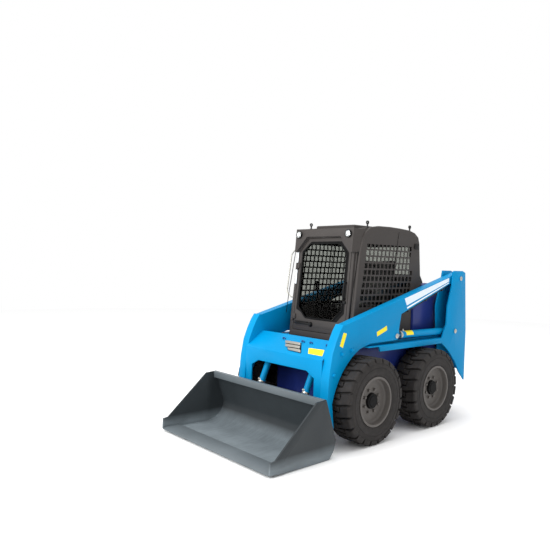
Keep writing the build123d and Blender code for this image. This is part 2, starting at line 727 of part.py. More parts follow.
def cab_windows():
    """The fixed panes: one let into the back, and one inside each side's grille."""
    middle = (852 + CAB_REAR_Y) / 2 - CAB_WALL / 2
    lean = (CAB_REAR_Y - 852) / (1840 - 1506)
    corners = ((-1, -1), (1, -1), (1, 1), (-1, 1))  # along the pane's height, through it
    outline = [
        (
            middle + lean * (1675 - REAR_PANE_MIDDLE_Z - up * REAR_PANE_HEIGHT / 2) - through * GLASS_THICKNESS / 2,
            REAR_PANE_MIDDLE_Z + up * REAR_PANE_HEIGHT / 2,
        )
        for up, through in corners
    ]
    outer = CAB_HALF_WIDTH - CAB_WALL - SEAT_GAP
    y_range = (GRILLE_FRONT_Y - WINDOW_MARGIN, CAB_KNEE_Y - CAB_WALL - SEAT_GAP)
    z_range = (GRILLE_BOTTOM_Z - WINDOW_MARGIN, GRILLE_TOP_Z + GRILLE_HOLE / 2 + WINDOW_MARGIN)
    with BuildPart() as panes:
        half = REAR_WINDOW_HALF_WIDTH - SEAT_GAP
        add(slab(outline, -half, 2 * half))
        for _, sign in SIDES:
            add(block(sorted((sign * outer, sign * (outer - GLASS_THICKNESS))), y_range, z_range))
    return panes.part


def cab_floor():
    """The floor plate, on the chassis, with the seat's box on it."""
    inner = CAB_HALF_WIDTH - CAB_WALL
    with BuildPart() as floor:
        behind_frame = CAB_FRONT_SILL_Y + CAB_FRAME_DEPTH + 2
        add(block((-inner, inner), (behind_frame, CAB_KNEE_Y), (CAB_BASE_Z, CAB_BASE_Z + 22)))
        under_frame = CAB_SILL_Z - CAB_FRAME_DEPTH * sin(LEAN) - SEAT_GAP
        add(block((-inner, inner), (CAB_FRONT_SILL_Y + 4, behind_frame + 1), (CAB_BASE_Z, under_frame)))
        add(block((-240, 240), (230, 700), (CAB_BASE_Z + 21, 1090)))
    return floor.part


def seat():
    with BuildPart() as chair:
        add(block((-225, 225), (180, 650), (1090.3, 1190)))
        add(slab([(560, 1190), (650, 1190), (770, 1660), (690, 1660)], -210, 420))
    return chair.part


def control_levers():
    """Two drive levers on their pedestals, one each side of the seat."""
    with BuildPart() as levers:
        for _, sign in SIDES:
            x_range = sorted((sign * 255, sign * 345))
            add(block(x_range, (60, 420), (CAB_BASE_Z + 22, 1150)))
            with BuildSketch(Plane.XY.offset(1149)):
                with Locations((sign * 300, 110)):
                    Circle(14)
            with BuildSketch(Plane.XY.offset(1360)):
                with Locations((sign * 290, 60)):
                    Circle(11)
            loft()
            add(bar_z(sign * 290, 60, 22, 1355, 1405))
    return levers.part


def work_lamps():
    """Two round headlamps on the visor."""
    with BuildPart() as lamps:
        for _, sign in SIDES:
            with BuildSketch(front_plane(-VISOR_PROUD - SEAT_GAP)):
                with Locations((sign * LAMP_X, (LAMP_Z - CAB_SILL_Z) / cos(LEAN))):
                    Circle(LAMP_RADIUS)
            extrude(amount=22)
    return lamps.part


def tail_lamps():
    """Two rectangular lamps on the rear faces of the towers."""
    with BuildPart() as lamps:
        for _, sign in SIDES:
            x_range = sorted((sign * 500, sign * 590))
            add(block(x_range, (TOWER_REAR_Y + SEAT_GAP, HALF_LENGTH - 1), (700, 880)))
    return lamps.part


def lifting_eyes():
    """Four ring bolts on the cab's roof edge."""
    ring = 18.0
    centre_z = LIFTING_EYE_TOP_Z - ring
    with BuildPart() as eyes:
        for _, sign in SIDES:
            for y in LIFTING_EYES_Y:
                x = sign * LIFTING_EYE_X
                seat_z = max(roof_height(y - 16), roof_height(y + 16)) + SEAT_GAP
                add(bar_z(x, y, 8, seat_z, centre_z - LIFTING_EYE_BORE - 2))
                add(bar_z(x, y, 16, seat_z, seat_z + 10))
                add(bar_x(y, centre_z, ring, x - 6, x + 6))
                add(bar_x(y, centre_z, LIFTING_EYE_BORE, x - 8, x + 8), mode=Mode.SUBTRACT)
    return eyes.part


HOOP_RADIUS = 6.0
HOOP_REACH = 105.0  # out from the pillar
HOOP_BOTTOM_Z, HOOP_TOP_Z = 1245.0, 1728.0


def grab_hoop():
    """The bent rod handle beside the door, standing out of the cab's right front pillar."""
    root = -CAB_FRAME_HALF_WIDTH - SEAT_GAP
    out = root - HOOP_REACH
    low_y = CAB_FRONT_SILL_Y + (HOOP_BOTTOM_Z - CAB_SILL_Z) * sin(LEAN) / cos(LEAN) + HOOP_RADIUS + 1
    high_y = low_y + (HOOP_TOP_Z - HOOP_BOTTOM_Z) * sin(LEAN) / cos(LEAN)
    points = [
        (root, low_y, HOOP_BOTTOM_Z),
        (root - 40, low_y, HOOP_BOTTOM_Z),
        (out, low_y + 3, HOOP_BOTTOM_Z + 50),
        (out + 18, high_y - 3, HOOP_TOP_Z - 45),
        (root - 48, high_y, HOOP_TOP_Z),
        (root, high_y, HOOP_TOP_Z),
    ]
    with BuildPart() as hoop:
        with BuildLine() as path:
            FilletPolyline(*points, radius=22)
        with BuildSketch(Plane(origin=path.line @ 0, z_dir=path.line % 0)):
            Circle(HOOP_RADIUS)
        sweep()
    return hoop.part


# ---------------------------------------------------------------- lift arms
def arm():
    """The left lift arm: a tapering box from its pivot to a wide plate that drops in front of the wheel as a leg."""
    with BuildPart() as body:
        with BuildSketch(Plane.YZ.offset(ARM_INNER_X)):
            with BuildLine():
                Polyline(
                    (-300, 845),
                    (-151, 882),
                    (212, 886),
                    (262, 890),
                    (282, 925),
                    (276, 990),
                    (307, 1133),
                    (LIFT_PIVOT_Y - 149, LIFT_PIVOT_Z - 51),
                    (LIFT_PIVOT_Y, LIFT_PIVOT_Z - ARM_BOSS_RADIUS + 14),
                    (LIFT_PIVOT_Y, LIFT_PIVOT_Z),
                    (LIFT_PIVOT_Y - 15, LIFT_PIVOT_Z + ARM_BOSS_RADIUS - 2),
                    (-506, 1068),
                    (-539, 1070),
                    (-578, 1017),
                    (-623, 932),
                    (-667, 827),
                    (-699, 656),
                    (-714, 453),
                    (BUCKET_PIVOT_Y - LEG_BOSS_RADIUS, BUCKET_PIVOT_Z),
                    (BUCKET_PIVOT_Y + LEG_BOSS_RADIUS, BUCKET_PIVOT_Z),
                    (-655, 400),
                )
                ThreePointArc((-655, 400), (-505, 690), (-300, 845))
            make_face()
            with Locations((LIFT_PIVOT_Y, LIFT_PIVOT_Z)):
                Circle(ARM_BOSS_RADIUS)
            with Locations((BUCKET_PIVOT_Y, BUCKET_PIVOT_Z)):
                Circle(LEG_BOSS_RADIUS)
        extrude(amount=ARM_WIDTH)
        add(bar_x(LIFT_PIVOT_Y, LIFT_PIVOT_Z, LIFT_PIN_RADIUS + RUN, ARM_INNER_X, ARM_OUTER_X), mode=Mode.SUBTRACT)
        add(bar_x(BUCKET_PIVOT_Y, BUCKET_PIVOT_Z, BUCKET_PIN_RADIUS + RUN, ARM_INNER_X, ARM_OUTER_X), mode=Mode.SUBTRACT)
        slot = [(150, 870), (330, 870), (330, 1040), (180, 1000), (150, 960)]
        slot_width = EYE_WIDTH + 2 * SIDE_GAP
        add(slab(slot, ARM_MID_X - slot_width / 2, slot_width), mode=Mode.SUBTRACT)
        add(bar_x(LIFT_EYE_Y, LIFT_EYE_Z, EYE_RADIUS - 6, ARM_OUTER_X, ARM_OUTER_X + PIN_PROUD))
    return body.part


PIPE_RADIUS = 6.0
PIPE_DROP = 24.0  # from the arm's underside to a pipe's centre line
PIPE_SPACING = 30.0
BELLY_FRONT = (307.0, 1133.0)  # ends of the straight underside
BELLY_REAR = (LIFT_PIVOT_Y - 149, LIFT_PIVOT_Z - 51)


def arm_pipes():
    """Two steel oil pipes under each arm, bent up into it at both ends, held by three clamps."""
    run = (BELLY_REAR[0] - BELLY_FRONT[0], BELLY_REAR[1] - BELLY_FRONT[1])
    length = hypot(*run)
    along = (run[0] / length, run[1] / length)

    def under(distance, drop):
        return (
            BELLY_FRONT[0] + along[0] * distance + along[1] * drop,
            BELLY_FRONT[1] + along[1] * distance - along[0] * drop,
        )

    ends = (40, length - 40)
    with BuildPart() as pipes:
        for _, sign in SIDES:
            middle = sign * ARM_MID_X
            for x in (middle - PIPE_SPACING / 2, middle + PIPE_SPACING / 2):
                route = [
                    under(ends[0], SEAT_GAP),
                    under(ends[0], PIPE_DROP),
                    under(ends[1], PIPE_DROP),
                    under(ends[1], SEAT_GAP),
                ]
                with BuildLine() as path:
                    FilletPolyline(*[(x, y, z) for y, z in route], radius=16)
                with BuildSketch(Plane(origin=path.line @ 0, z_dir=path.line % 0)):
                    Circle(PIPE_RADIUS)
                sweep()
            for distance in (length * 0.16, length * 0.5, length * 0.84):
                clamp = [
                    under(distance - 14, SEAT_GAP),
                    under(distance + 14, SEAT_GAP),
                    under(distance + 14, PIPE_DROP + 9),
                    under(distance - 14, PIPE_DROP + 9),
                ]
                half = PIPE_SPACING / 2 + 12
                add(slab(clamp, middle - half, 2 * half))
    return pipes.part


def cross_panel():
    """The front cross member: a folded plate between the legs, its torque tube, and the tilt cylinders' upper lugs."""
    face, plate = PANEL_FACE_Y, PANEL_PLATE
    inner = ARM_INNER_X - SEAT_GAP
    fold = [
        (face, PANEL_EDGE_Z),
        (face, PANEL_FOLD_Z),
        (PANEL_TOP_Y, PANEL_TOP_Z),
        (PANEL_TOP_Y + 10, PANEL_TOP_Z - plate),
        (face + plate, PANEL_FOLD_Z - 4),
        (face + plate, PANEL_EDGE_Z),
    ]
    skirt = [(OPENING_HALF_WIDTH, LEG_SKIRT_Z), (inner, LEG_SKIRT_Z), (inner, PANEL_EDGE_Z + 5), (OPENING_HALF_WIDTH - OPENING_CHAMFER, PANEL_EDGE_Z + 5), (OPENING_HALF_WIDTH - OPENING_CHAMFER, PANEL_EDGE_Z), (OPENING_HALF_WIDTH, PANEL_EDGE_Z - 0.55 * OPENING_CHAMFER)]
    with BuildPart() as panel:
        add(slab(fold, -inner, 2 * inner))
        add(bar_x(TORQUE_TUBE_Y, TORQUE_TUBE_Z, TORQUE_TUBE_RADIUS, -inner, inner))
        add(slab([(PANEL_TOP_Y, PANEL_TOP_Z - plate), (PANEL_TOP_Y, PANEL_TOP_Z), (TORQUE_TUBE_Y, TORQUE_TUBE_Z + TORQUE_TUBE_RADIUS), (TORQUE_TUBE_Y, TORQUE_TUBE_Z + TORQUE_TUBE_RADIUS - plate)], -inner, 2 * inner))
        for _, sign in SIDES:
            with BuildSketch(Plane.XZ.offset(-face - plate)):
                with BuildLine():
                    Polyline(*[(sign * x, z) for x, z in skirt], close=True)
                make_face()
            extrude(amount=plate)
            for lug in (-1, 1):
                middle = sign * TILT_X + lug * (TILT_EYE_WIDTH / 2 + SIDE_GAP + LUG_PLATE / 2)
                lug_outline = [
                    (TILT_BASE_Y - 34, TILT_BASE_Z - 20),
                    (TILT_BASE_Y + 10, TILT_BASE_Z - 34),
                    (TORQUE_TUBE_Y, TORQUE_TUBE_Z - TORQUE_TUBE_RADIUS + 8),
                    (TORQUE_TUBE_Y, TORQUE_TUBE_Z + TORQUE_TUBE_RADIUS - 6),
                    (PANEL_TOP_Y, PANEL_TOP_Z - 6),
                    (PANEL_TOP_Y - 60, PANEL_TOP_Z - 60),
                ]
                add(slab(lug_outline, middle - LUG_PLATE / 2, LUG_PLATE))
            reach = TILT_EYE_WIDTH / 2 + SIDE_GAP + LUG_PLATE + 6
            add(bar_x(TILT_BASE_Y, TILT_BASE_Z, TILT_PIN_RADIUS, sign * TILT_X - reach, sign * TILT_X + reach))
    return panel.part


# ---------------------------------------------------------------- cylinders
def axis_plane(base, eye, x, distance):
    """A plane across a cylinder's axis, at a distance from its base pin towards its eye."""
    length = hypot(eye[0] - base[0], eye[1] - base[1])
    direction = ((eye[0] - base[0]) / length, (eye[1] - base[1]) / length)
    origin = (x, base[0] + direction[0] * distance, base[1] + direction[1] * distance)
    return Plane(origin=origin, x_dir=(1, 0, 0), z_dir=(0, *direction))


def barrel(base, eye, x, outer, rod_radius, length, eye_radius, eye_width, pin_radius):
    """A hydraulic cylinder's tube: base eye, wall, gland and the open bore for the rod."""
    with BuildPart() as tube:
        with BuildSketch(axis_plane(base, eye, x, eye_radius - 4)):
            Circle(outer)
        extrude(amount=length - eye_radius + 4)
        with BuildSketch(axis_plane(base, eye, x, length - 34)):
            Circle(outer + 4)
        extrude(amount=34)
        with BuildSketch(axis_plane(base, eye, x, eye_radius + 12)):
            Circle(outer - 7)
        extrude(amount=length - eye_radius - 12 - 22, mode=Mode.SUBTRACT)
        with BuildSketch(axis_plane(base, eye, x, length - 30)):
            Circle(rod_radius + RUN)
        extrude(amount=40, mode=Mode.SUBTRACT)
        add(bar_x(base[0], base[1], eye_radius, x - eye_width / 2, x + eye_width / 2))
        add(bar_x(base[0], base[1], pin_radius + RUN, x - eye_width, x + eye_width), mode=Mode.SUBTRACT)
    return tube.part


def rod(base, eye, x, outer, rod_radius, rod_length, eye_radius, eye_width):
    """A cylinder's rod: eye with its pin inside, rod, and the piston that runs in the barrel."""
    length = hypot(eye[0] - base[0], eye[1] - base[1])
    with BuildPart() as body:
        with BuildSketch(axis_plane(base, eye, x, length - rod_length)):
            Circle(rod_radius)
        extrude(amount=rod_length - eye_radius / 2)
        with BuildSketch(axis_plane(base, eye, x, length - rod_length)):
            Circle(outer - 7 - RUN)
        extrude(amount=24)
        add(bar_x(eye[0], eye[1], eye_radius, x - eye_width / 2, x + eye_width / 2))
    return body.part


LIFT = {"base": (LIFT_BASE_Y, LIFT_BASE_Z), "eye": (LIFT_EYE_Y, LIFT_EYE_Z)}
TILT = {"base": (TILT_BASE_Y, TILT_BASE_Z), "eye": (TILT_EYE_Y, TILT_EYE_Z)}
LIFT_BARREL_LENGTH = hypot(LIFT_EYE_Y - LIFT_BASE_Y, LIFT_EYE_Z - LIFT_BASE_Z) - LIFT_CLOSED_GAP
TILT_BARREL_LENGTH = hypot(TILT_EYE_Y - TILT_BASE_Y, TILT_EYE_Z - TILT_BASE_Z) - TILT_REST_GAP
ROD_STAYS_IN = 60.0  # least length of a rod left inside its barrel
LIFT_ROD_LENGTH = LIFT_CLOSED_GAP + LIFT_STROKE + ROD_STAYS_IN
TILT_ROD_LENGTH = TILT_REST_GAP + TILT_STROKE + ROD_STAYS_IN


# ---------------------------------------------------------------- bucket
BUCKET_TOP = (-893.0, 500.0)
BUCKET_BACK_LOW = (-763.0, 152.0)
BUCKET_HEEL = (-838.0, BUCKET_BOTTOM_Z)


def coupler():
    """The quick-attach frame on the bucket's back: plate, hinge ears with their pins, and the tilt cylinders' ears."""
    run = (BUCKET_TOP[0] - BUCKET_BACK_LOW[0], BUCKET_TOP[1] - BUCKET_BACK_LOW[1])
    length = hypot(*run)
    up = (run[0] / length, run[1] / length)
    back = (up[1], -up[0])

    def at(height, offset):
        return (
            BUCKET_BACK_LOW[0] + up[0] * height + back[0] * offset,
            BUCKET_BACK_LOW[1] + up[1] * height + back[1] * offset,
        )

    plate = [at(12, SEAT_GAP), at(300, SEAT_GAP), at(300, 13), at(12, 13)]
    ear_x = ARM_INNER_X - SIDE_GAP - 26
    with BuildPart() as frame:
        add(slab(plate, -500, 1000))
        for _, sign in SIDES:
            low, high = sorted((sign * ear_x, sign * (ear_x + 26)))
            ear = [at(12, 5), at(150, 5), (BUCKET_PIVOT_Y - 10, BUCKET_PIVOT_Z + 46), (BUCKET_PIVOT_Y + 20, BUCKET_PIVOT_Z - 40)]
            add(slab(ear, low, high - low))
            add(bar_x(BUCKET_PIVOT_Y, BUCKET_PIVOT_Z, 46, low, high))
            pin = sorted((sign * ear_x, sign * (ARM_OUTER_X + 4)))
            add(bar_x(BUCKET_PIVOT_Y, BUCKET_PIVOT_Z, BUCKET_PIN_RADIUS, *pin))
            head = sorted((sign * (ARM_OUTER_X + 4), sign * (ARM_OUTER_X + 12)))
            add(bar_x(BUCKET_PIVOT_Y, BUCKET_PIVOT_Z, 34, *head))
            for lug in (-1, 1):
                middle = sign * TILT_X + lug * (TILT_EYE_WIDTH / 2 + SIDE_GAP + LUG_PLATE / 2)
                lug_outline = [at(90, 5), at(290, 5), (TILT_EYE_Y + 4, TILT_EYE_Z + 30), (TILT_EYE_Y + 28, TILT_EYE_Z - 16)]
                add(slab(lug_outline, middle - LUG_PLATE / 2, LUG_PLATE))
                add(bar_x(TILT_EYE_Y, TILT_EYE_Z, 30, middle - LUG_PLATE / 2, middle + LUG_PLATE / 2))
    return frame.part


def bucket():
    """The bucket: bent floor-and-back sheet, side plates with a strip along their front edge, and the top lip."""
    half = BUCKET_WIDTH / 2
    plate = STRIP_PLATE + BUCKET_SIDE
    tip_y = -HALF_LENGTH
    low = BUCKET_BOTTOM_Z
    front_low = (tip_y + 62, low + 118)
    side = [
        BUCKET_TOP,
        (-1008.0, 492.0),
        front_low,
        (tip_y + 12, low + 112),
        (tip_y + 8, low + 20),
        (tip_y + 150, low + 6),
        (-972, low),
        BUCKET_HEEL,
        (-783, 76),
        BUCKET_BACK_LOW,
    ]
    strip = [(-905, 494), (-1008, 492), front_low, (tip_y + 12, low + 112), (tip_y + 8, low + 20), (tip_y + 160, low + 8), (tip_y + 160, low + 112)]
    sheet = BUCKET_SHEET
    with BuildPart() as body:
        with BuildSketch(Plane.YZ.offset(-half + STRIP_PLATE + 1)):
            with BuildLine():
                Polyline(BUCKET_TOP, BUCKET_BACK_LOW, (-783, 76), BUCKET_HEEL, (-972, low), (tip_y + 120, low + 6))
                Line((tip_y + 120, low + 6), (tip_y + 120, low + 6 + sheet))
                Polyline((tip_y + 120, low + 6 + sheet), (-985, low + sheet), (-905, low + 34))
                ThreePointArc((-905, low + 34), (-822, 96), (-790, 190))
                Line((-790, 190), (BUCKET_TOP[0] - 11, BUCKET_TOP[1]))
                Line((BUCKET_TOP[0] - 11, BUCKET_TOP[1]), BUCKET_TOP)
            make_face()
        extrude(amount=2 * (half - STRIP_PLATE - 1))
        for _, sign in SIDES:
            start, end = sorted((sign * (half - plate), sign * (half - STRIP_PLATE)))
            add(slab(side, start, end - start))
            start, end = sorted((sign * (half - STRIP_PLATE), sign * half))
            add(slab(strip, start, end - start))
        lip = [BUCKET_TOP, (BUCKET_TOP[0] - LIP_DEPTH, 497), (BUCKET_TOP[0] - LIP_DEPTH + 12, 497 - LIP_HEIGHT), (BUCKET_TOP[0] + 12, 440)]
        add(slab(lip, -half + plate, 2 * (half - plate)))
    return body.part


def cutting_edge():
    """The wear blade bolted on top of the floor's front edge, bevelled to its edge."""
    half = BUCKET_WIDTH / 2 - STRIP_PLATE - BUCKET_SIDE - 1
    tip_y, low = -HALF_LENGTH, BUCKET_BOTTOM_Z
    top = low + 6 + BUCKET_SHEET + SEAT_GAP
    outline = [
        (tip_y, low + 18),
        (tip_y + 34, low + 18 + CUTTING_EDGE_PLATE - 4),
        (tip_y + CUTTING_EDGE_DEPTH + 40, top + CUTTING_EDGE_PLATE - 4),
        (tip_y + CUTTING_EDGE_DEPTH + 40, top),
        (tip_y + 118, top),
        (tip_y + 118, low + 8),
        (tip_y + 10, low + 12),
    ]
    return slab(outline, -half, 2 * half)


# ---------------------------------------------------------------- export
for place, axle_y in zip(("front", "rear"), AXLES_Y):
    for piece, made in (("tyre", tyre(axle_y)), ("rim", rim(axle_y))):
        for side, solid in both_sides(made).items():
            save(solid, f"{piece}_{place}_{side}")

for side, solid in both_sides(arm()).items():
    save(solid, f"arm_{side}")

for name, made in (("towers", tower()), ("cab_sides", cab_side())):
    with BuildPart() as pair:
        add(list(both_sides(made).values()))
    save(pair.part, name)

for side, sign in SIDES:
    x = sign * ARM_MID_X
    sizes = (LIFT_BORE_OUTER, LIFT_ROD_RADIUS)
    save(barrel(**LIFT, x=x, outer=sizes[0], rod_radius=sizes[1], length=LIFT_BARREL_LENGTH, eye_radius=EYE_RADIUS, eye_width=EYE_WIDTH, pin_radius=CYLINDER_PIN_RADIUS), f"lift_barrel_{side}")
    save(rod(**LIFT, x=x, outer=sizes[0], rod_radius=sizes[1], rod_length=LIFT_ROD_LENGTH, eye_radius=EYE_RADIUS, eye_width=EYE_WIDTH), f"lift_rod_{side}")
    x = sign * TILT_X
    sizes = (TILT_BORE_OUTER, TILT_ROD_RADIUS)
    save(barrel(**TILT, x=x, outer=sizes[0], rod_radius=sizes[1], length=TILT_BARREL_LENGTH, eye_radius=TILT_EYE_RADIUS, eye_width=TILT_EYE_WIDTH, pin_radius=TILT_PIN_RADIUS), f"tilt_barrel_{side}")
    save(rod(**TILT, x=x, outer=sizes[0], rod_radius=sizes[1], rod_length=TILT_ROD_LENGTH, eye_radius=TILT_EYE_RADIUS, eye_width=TILT_EYE_WIDTH), f"tilt_rod_{side}")

for name, made in (
    ("chassis", chassis()),
    ("axle_stubs", axle_stubs()),
    ("rear_bumper", rear_bumper()),
    ("engine_block", engine_block()),
    ("engine_hood", engine_hood()),
    ("engine_door", engine_door()),
    ("rear_hinge_pins", rear_hinge_pins()),
    ("cab_front_frame", cab_front_frame()),
    ("cab_door", cab_door()),
    ("door_glass", door_glass()),
    ("cab_roof", cab_roof()),
    ("cab_rear_wall", cab_rear_wall()),
    ("cab_windows", cab_windows()),
    ("cab_floor", cab_floor()),
    ("seat", seat()),
    ("control_levers", control_levers()),
    ("headlamps", work_lamps()),
    ("tail_lamps", tail_lamps()),
    ("lifting_eyes", lifting_eyes()),
    ("grab_hoop", grab_hoop()),
    ("cross_panel", cross_panel()),
    ("arm_pipes", arm_pipes()),
    ("coupler", coupler()),
    ("bucket", bucket()),
    ("cutting_edge", cutting_edge()),
):
    save(made, name)
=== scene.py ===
"""Skid steer loader: the looks of a compact wheeled loader, laid over its fixed frame.

Metres, in the frame's own axes: +Z is up, the bucket points to -Y and the machine's left side is +X.
Each operator makes one piece or one group of like pieces; main() calls them in the order in which the
machine is put together.
"""
import json
import math

import bmesh
import bpy
from mathutils import Matrix, Vector


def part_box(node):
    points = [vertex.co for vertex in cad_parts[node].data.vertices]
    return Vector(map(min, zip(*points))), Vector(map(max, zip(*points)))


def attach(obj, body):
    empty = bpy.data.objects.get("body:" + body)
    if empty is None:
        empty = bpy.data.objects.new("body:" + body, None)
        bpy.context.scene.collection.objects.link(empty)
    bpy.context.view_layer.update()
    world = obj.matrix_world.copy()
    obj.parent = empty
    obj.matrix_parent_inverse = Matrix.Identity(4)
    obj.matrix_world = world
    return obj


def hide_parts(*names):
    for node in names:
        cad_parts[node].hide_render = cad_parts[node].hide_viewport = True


bl_info = {
    "name": "Skid Steer Loader",
    "version": (1, 0, 0),
    "blender": (4, 5, 0),
    "location": "3D View > Sidebar > Loader",
    "description": "Dresses the frame of a skid steer loader with its painted, moulded and rubber pieces",
    "category": "Object",
}

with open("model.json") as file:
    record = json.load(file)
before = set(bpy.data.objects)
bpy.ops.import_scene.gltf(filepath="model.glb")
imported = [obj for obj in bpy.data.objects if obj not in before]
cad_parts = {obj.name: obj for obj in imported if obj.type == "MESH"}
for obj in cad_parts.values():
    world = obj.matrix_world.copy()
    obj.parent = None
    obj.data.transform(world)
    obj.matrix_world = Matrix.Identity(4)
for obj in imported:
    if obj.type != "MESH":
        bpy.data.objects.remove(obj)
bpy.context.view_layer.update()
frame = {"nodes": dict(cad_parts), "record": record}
NODES = frame["nodes"]
BODY_OF = {node: body for body, nodes in frame["record"]["behaviour"]["bodies"].items() for node in nodes}
SLOT_OF = {part["node"]: part["material_slot"] for part in frame["record"]["subparts"]}
SIDES = (("left", 1), ("right", -1))
CORNERS = ("front_left", "front_right", "rear_left", "rear_right")


def linear(code):
    """An sRGB hex colour as linear red, green, blue and alpha."""
    parts = [int(code[i : i + 2], 16) / 255 for i in (1, 3, 5)]
    return tuple(c / 12.92 if c <= 0.04045 else ((c + 0.055) / 1.055) ** 2.4 for c in parts) + (1.0,)


def colour(name, description, code):
    """A colour that the user can change."""
    return bpy.props.FloatVectorProperty(
        name=name, description=description, default=linear(code), size=4, min=0.0, max=1.0, subtype="COLOR"
    )


def length(name, description, default):
    """A length in metres that the user can change."""
    return bpy.props.FloatProperty(
        name=name,
        description=description,
        default=default,
        min=0.0,
        precision=4,
        subtype="DISTANCE",
        unit="LENGTH",
    )


class LoaderColours(bpy.types.PropertyGroup):
    """The colours of the machine's finishes."""

    light_blue: colour("Light blue", "Powder coat of the arms, towers and front panel", "#0084ba")
    navy: colour("Navy", "Powder coat of the tub and the engine cover", "#1c2c70")
    cab_grey: colour("Cab grey", "Textured coat of the cab", "#3a3634")
    bucket_grey: colour("Bucket grey", "Paint of the bucket and its coupler", "#292e31")
    bucket_worn: colour("Bucket floor", "Rubbed steel and dust on the bucket's floor", "#6d767b")
    cast_grey: colour("Cast grey", "Paint of the counterweight", "#3b3c3f")
    rim_grey: colour("Rim grey", "Paint of the wheels", "#55514e")
    rubber: colour("Tyre black", "Tyre rubber", "#242120")
    seat_black: colour("Seat black", "Vinyl of the seat", "#1b1b1c")
    label_yellow: colour("Label yellow", "The blank labels", "#f0dd1c")
    stripe_white: colour("Stripe white", "The stripes along the arms", "#e9eef2")


class LoaderSizes(bpy.types.PropertyGroup):
    """The sizes of the added detail."""

    lugs: bpy.props.IntProperty(
        name="Lugs", description="Lugs in each of a tyre's two rows", default=22, min=8, max=40
    )
    lug_depth: length("Lug depth", "Height of a lug over the carcass", 0.022)
    decal_thickness: length("Decal thickness", "How far a label stands proud of the paint", 0.0006)
    bolt_flats: length("Bolt size", "Across the flats of the wheel bolts' heads", 0.023)


# ---------------------------------------------------------------- modelling helpers
SHARP = 35  # degrees between two faces from which their edge counts as sharp


def rest():
    """Leaves edit mode and deselects everything."""
    if bpy.context.mode != "OBJECT":
        bpy.ops.object.mode_set(mode="OBJECT")
    bpy.ops.object.select_all(action="DESELECT")


def select(*pieces):
    """Selects only these pieces; the first is the active one."""
    rest()
    for piece in pieces:
        piece.select_set(True)
    bpy.context.view_layer.objects.active = pieces[0]


def edit(piece):
    """Opens a piece in edit mode with all of it selected."""
    select(piece)
    bpy.ops.object.mode_set(mode="EDIT")
    bpy.ops.mesh.select_mode(type="VERT")
    bpy.ops.mesh.select_all(action="SELECT")


def edit_edges(piece):
    """Opens a piece in edit mode with all its edges selected."""
    edit(piece)
    bpy.ops.mesh.select_mode(type="EDGE")
    bpy.ops.mesh.select_all(action="SELECT")


def pick(piece, kind, wanted):
    """In edit mode, selects only the faces, edges or vertices that pass a test."""
    bpy.ops.mesh.select_mode(type={"faces": "FACE", "edges": "EDGE", "verts": "VERT"}[kind])
    bpy.ops.mesh.select_all(action="DESELECT")
    mesh = bmesh.from_edit_mesh(piece.data)
    for element in getattr(mesh, kind):
        if wanted(element):
            element.select_set(True)
    mesh.select_flush_mode()
    bmesh.update_edit_mesh(piece.data)


def close_up(piece):
    """Merges doubled points and turns every face outwards."""
    edit(piece)
    bpy.ops.mesh.remove_doubles(threshold=1e-5)
    bpy.ops.mesh.normals_make_consistent(inside=False)
    rest()
    return piece


def line_through(points):
    """A chain of edges through the points, left open in edit mode."""
    rest()
    bpy.ops.mesh.primitive_plane_add(size=0.01, location=points[0])
    piece = bpy.context.active_object
    bpy.ops.object.transform_apply(location=True, rotation=True, scale=True)
    bpy.ops.object.mode_set(mode="EDIT")
    bpy.ops.mesh.select_mode(type="VERT")
    bpy.ops.mesh.select_all(action="SELECT")
    bpy.ops.mesh.merge(type="CENTER")
    for start, end in zip(points, points[1:]):
        move = Vector(end) - Vector(start)
        bpy.ops.mesh.extrude_vertices_move(TRANSFORM_OT_translate={"value": move})
    return piece


def plate(points, depth):
    """A flat plate with an outline of points, as thick as the vector depth."""
    piece = line_through(points)
    bpy.ops.mesh.select_all(action="SELECT")
    bpy.ops.mesh.edge_face_add()
    bpy.ops.mesh.extrude_region_move(TRANSFORM_OT_translate={"value": Vector(depth)})
    return close_up(piece)


def close_ends(piece):
    """In edit mode, joins the loose ends of a chain of edges."""
    pick(piece, "verts", lambda v: len(v.link_edges) < 2)
    bpy.ops.mesh.edge_face_add()


def tube(points, radius, bend=0.0, closed=False):
    """A round bar, hose or strip along the points, with its corners bent to a radius."""
    piece = line_through(points)
    if closed:
        close_ends(piece)
    if bend:
        pick(piece, "verts", lambda v: len(v.link_edges) == 2)
        bpy.ops.mesh.bevel(offset=bend, offset_type="OFFSET", segments=6, affect="VERTICES")
    select(piece)
    bpy.ops.object.convert(target="CURVE")
    piece = bpy.context.active_object
    piece.data.bevel_depth = radius
    piece.data.bevel_resolution = 2
    piece.data.use_fill_caps = not closed
    bpy.ops.object.convert(target="MESH")
    piece = close_up(bpy.context.active_object)
    return shade(piece, 50)


def turned(profile, steps, axis=(0, 0, 1)):
    """A turned piece: a chain of (x, z) points spun round an axis through the origin."""
    piece = line_through([(x, 0, z) for x, z in profile])
    bpy.ops.mesh.select_all(action="SELECT")
    bpy.ops.mesh.spin(steps=steps, angle=2 * math.pi, center=(0, 0, 0), axis=axis, dupli=False)
    return shade(close_up(piece), SHARP)


def shade(piece, degrees=30):
    """Smooth shading up to an angle."""
    select(piece)
    bpy.ops.object.shade_smooth_by_angle(angle=math.radians(degrees))
    return piece


def modify(piece, kind, **settings):
    """Adds a modifier and applies it."""
    select(piece)
    modifier = piece.modifiers.new(kind.title(), kind)
    for key, value in settings.items():
        setattr(modifier, key, value)
    bpy.ops.object.modifier_apply(modifier=modifier.name)
    return piece


def cut(piece, tool):
    """Cuts one closed piece out of another and takes the tool away."""
    modify(piece, "BOOLEAN", operation="DIFFERENCE", object=tool, solver="EXACT")
    bpy.data.objects.remove(tool)


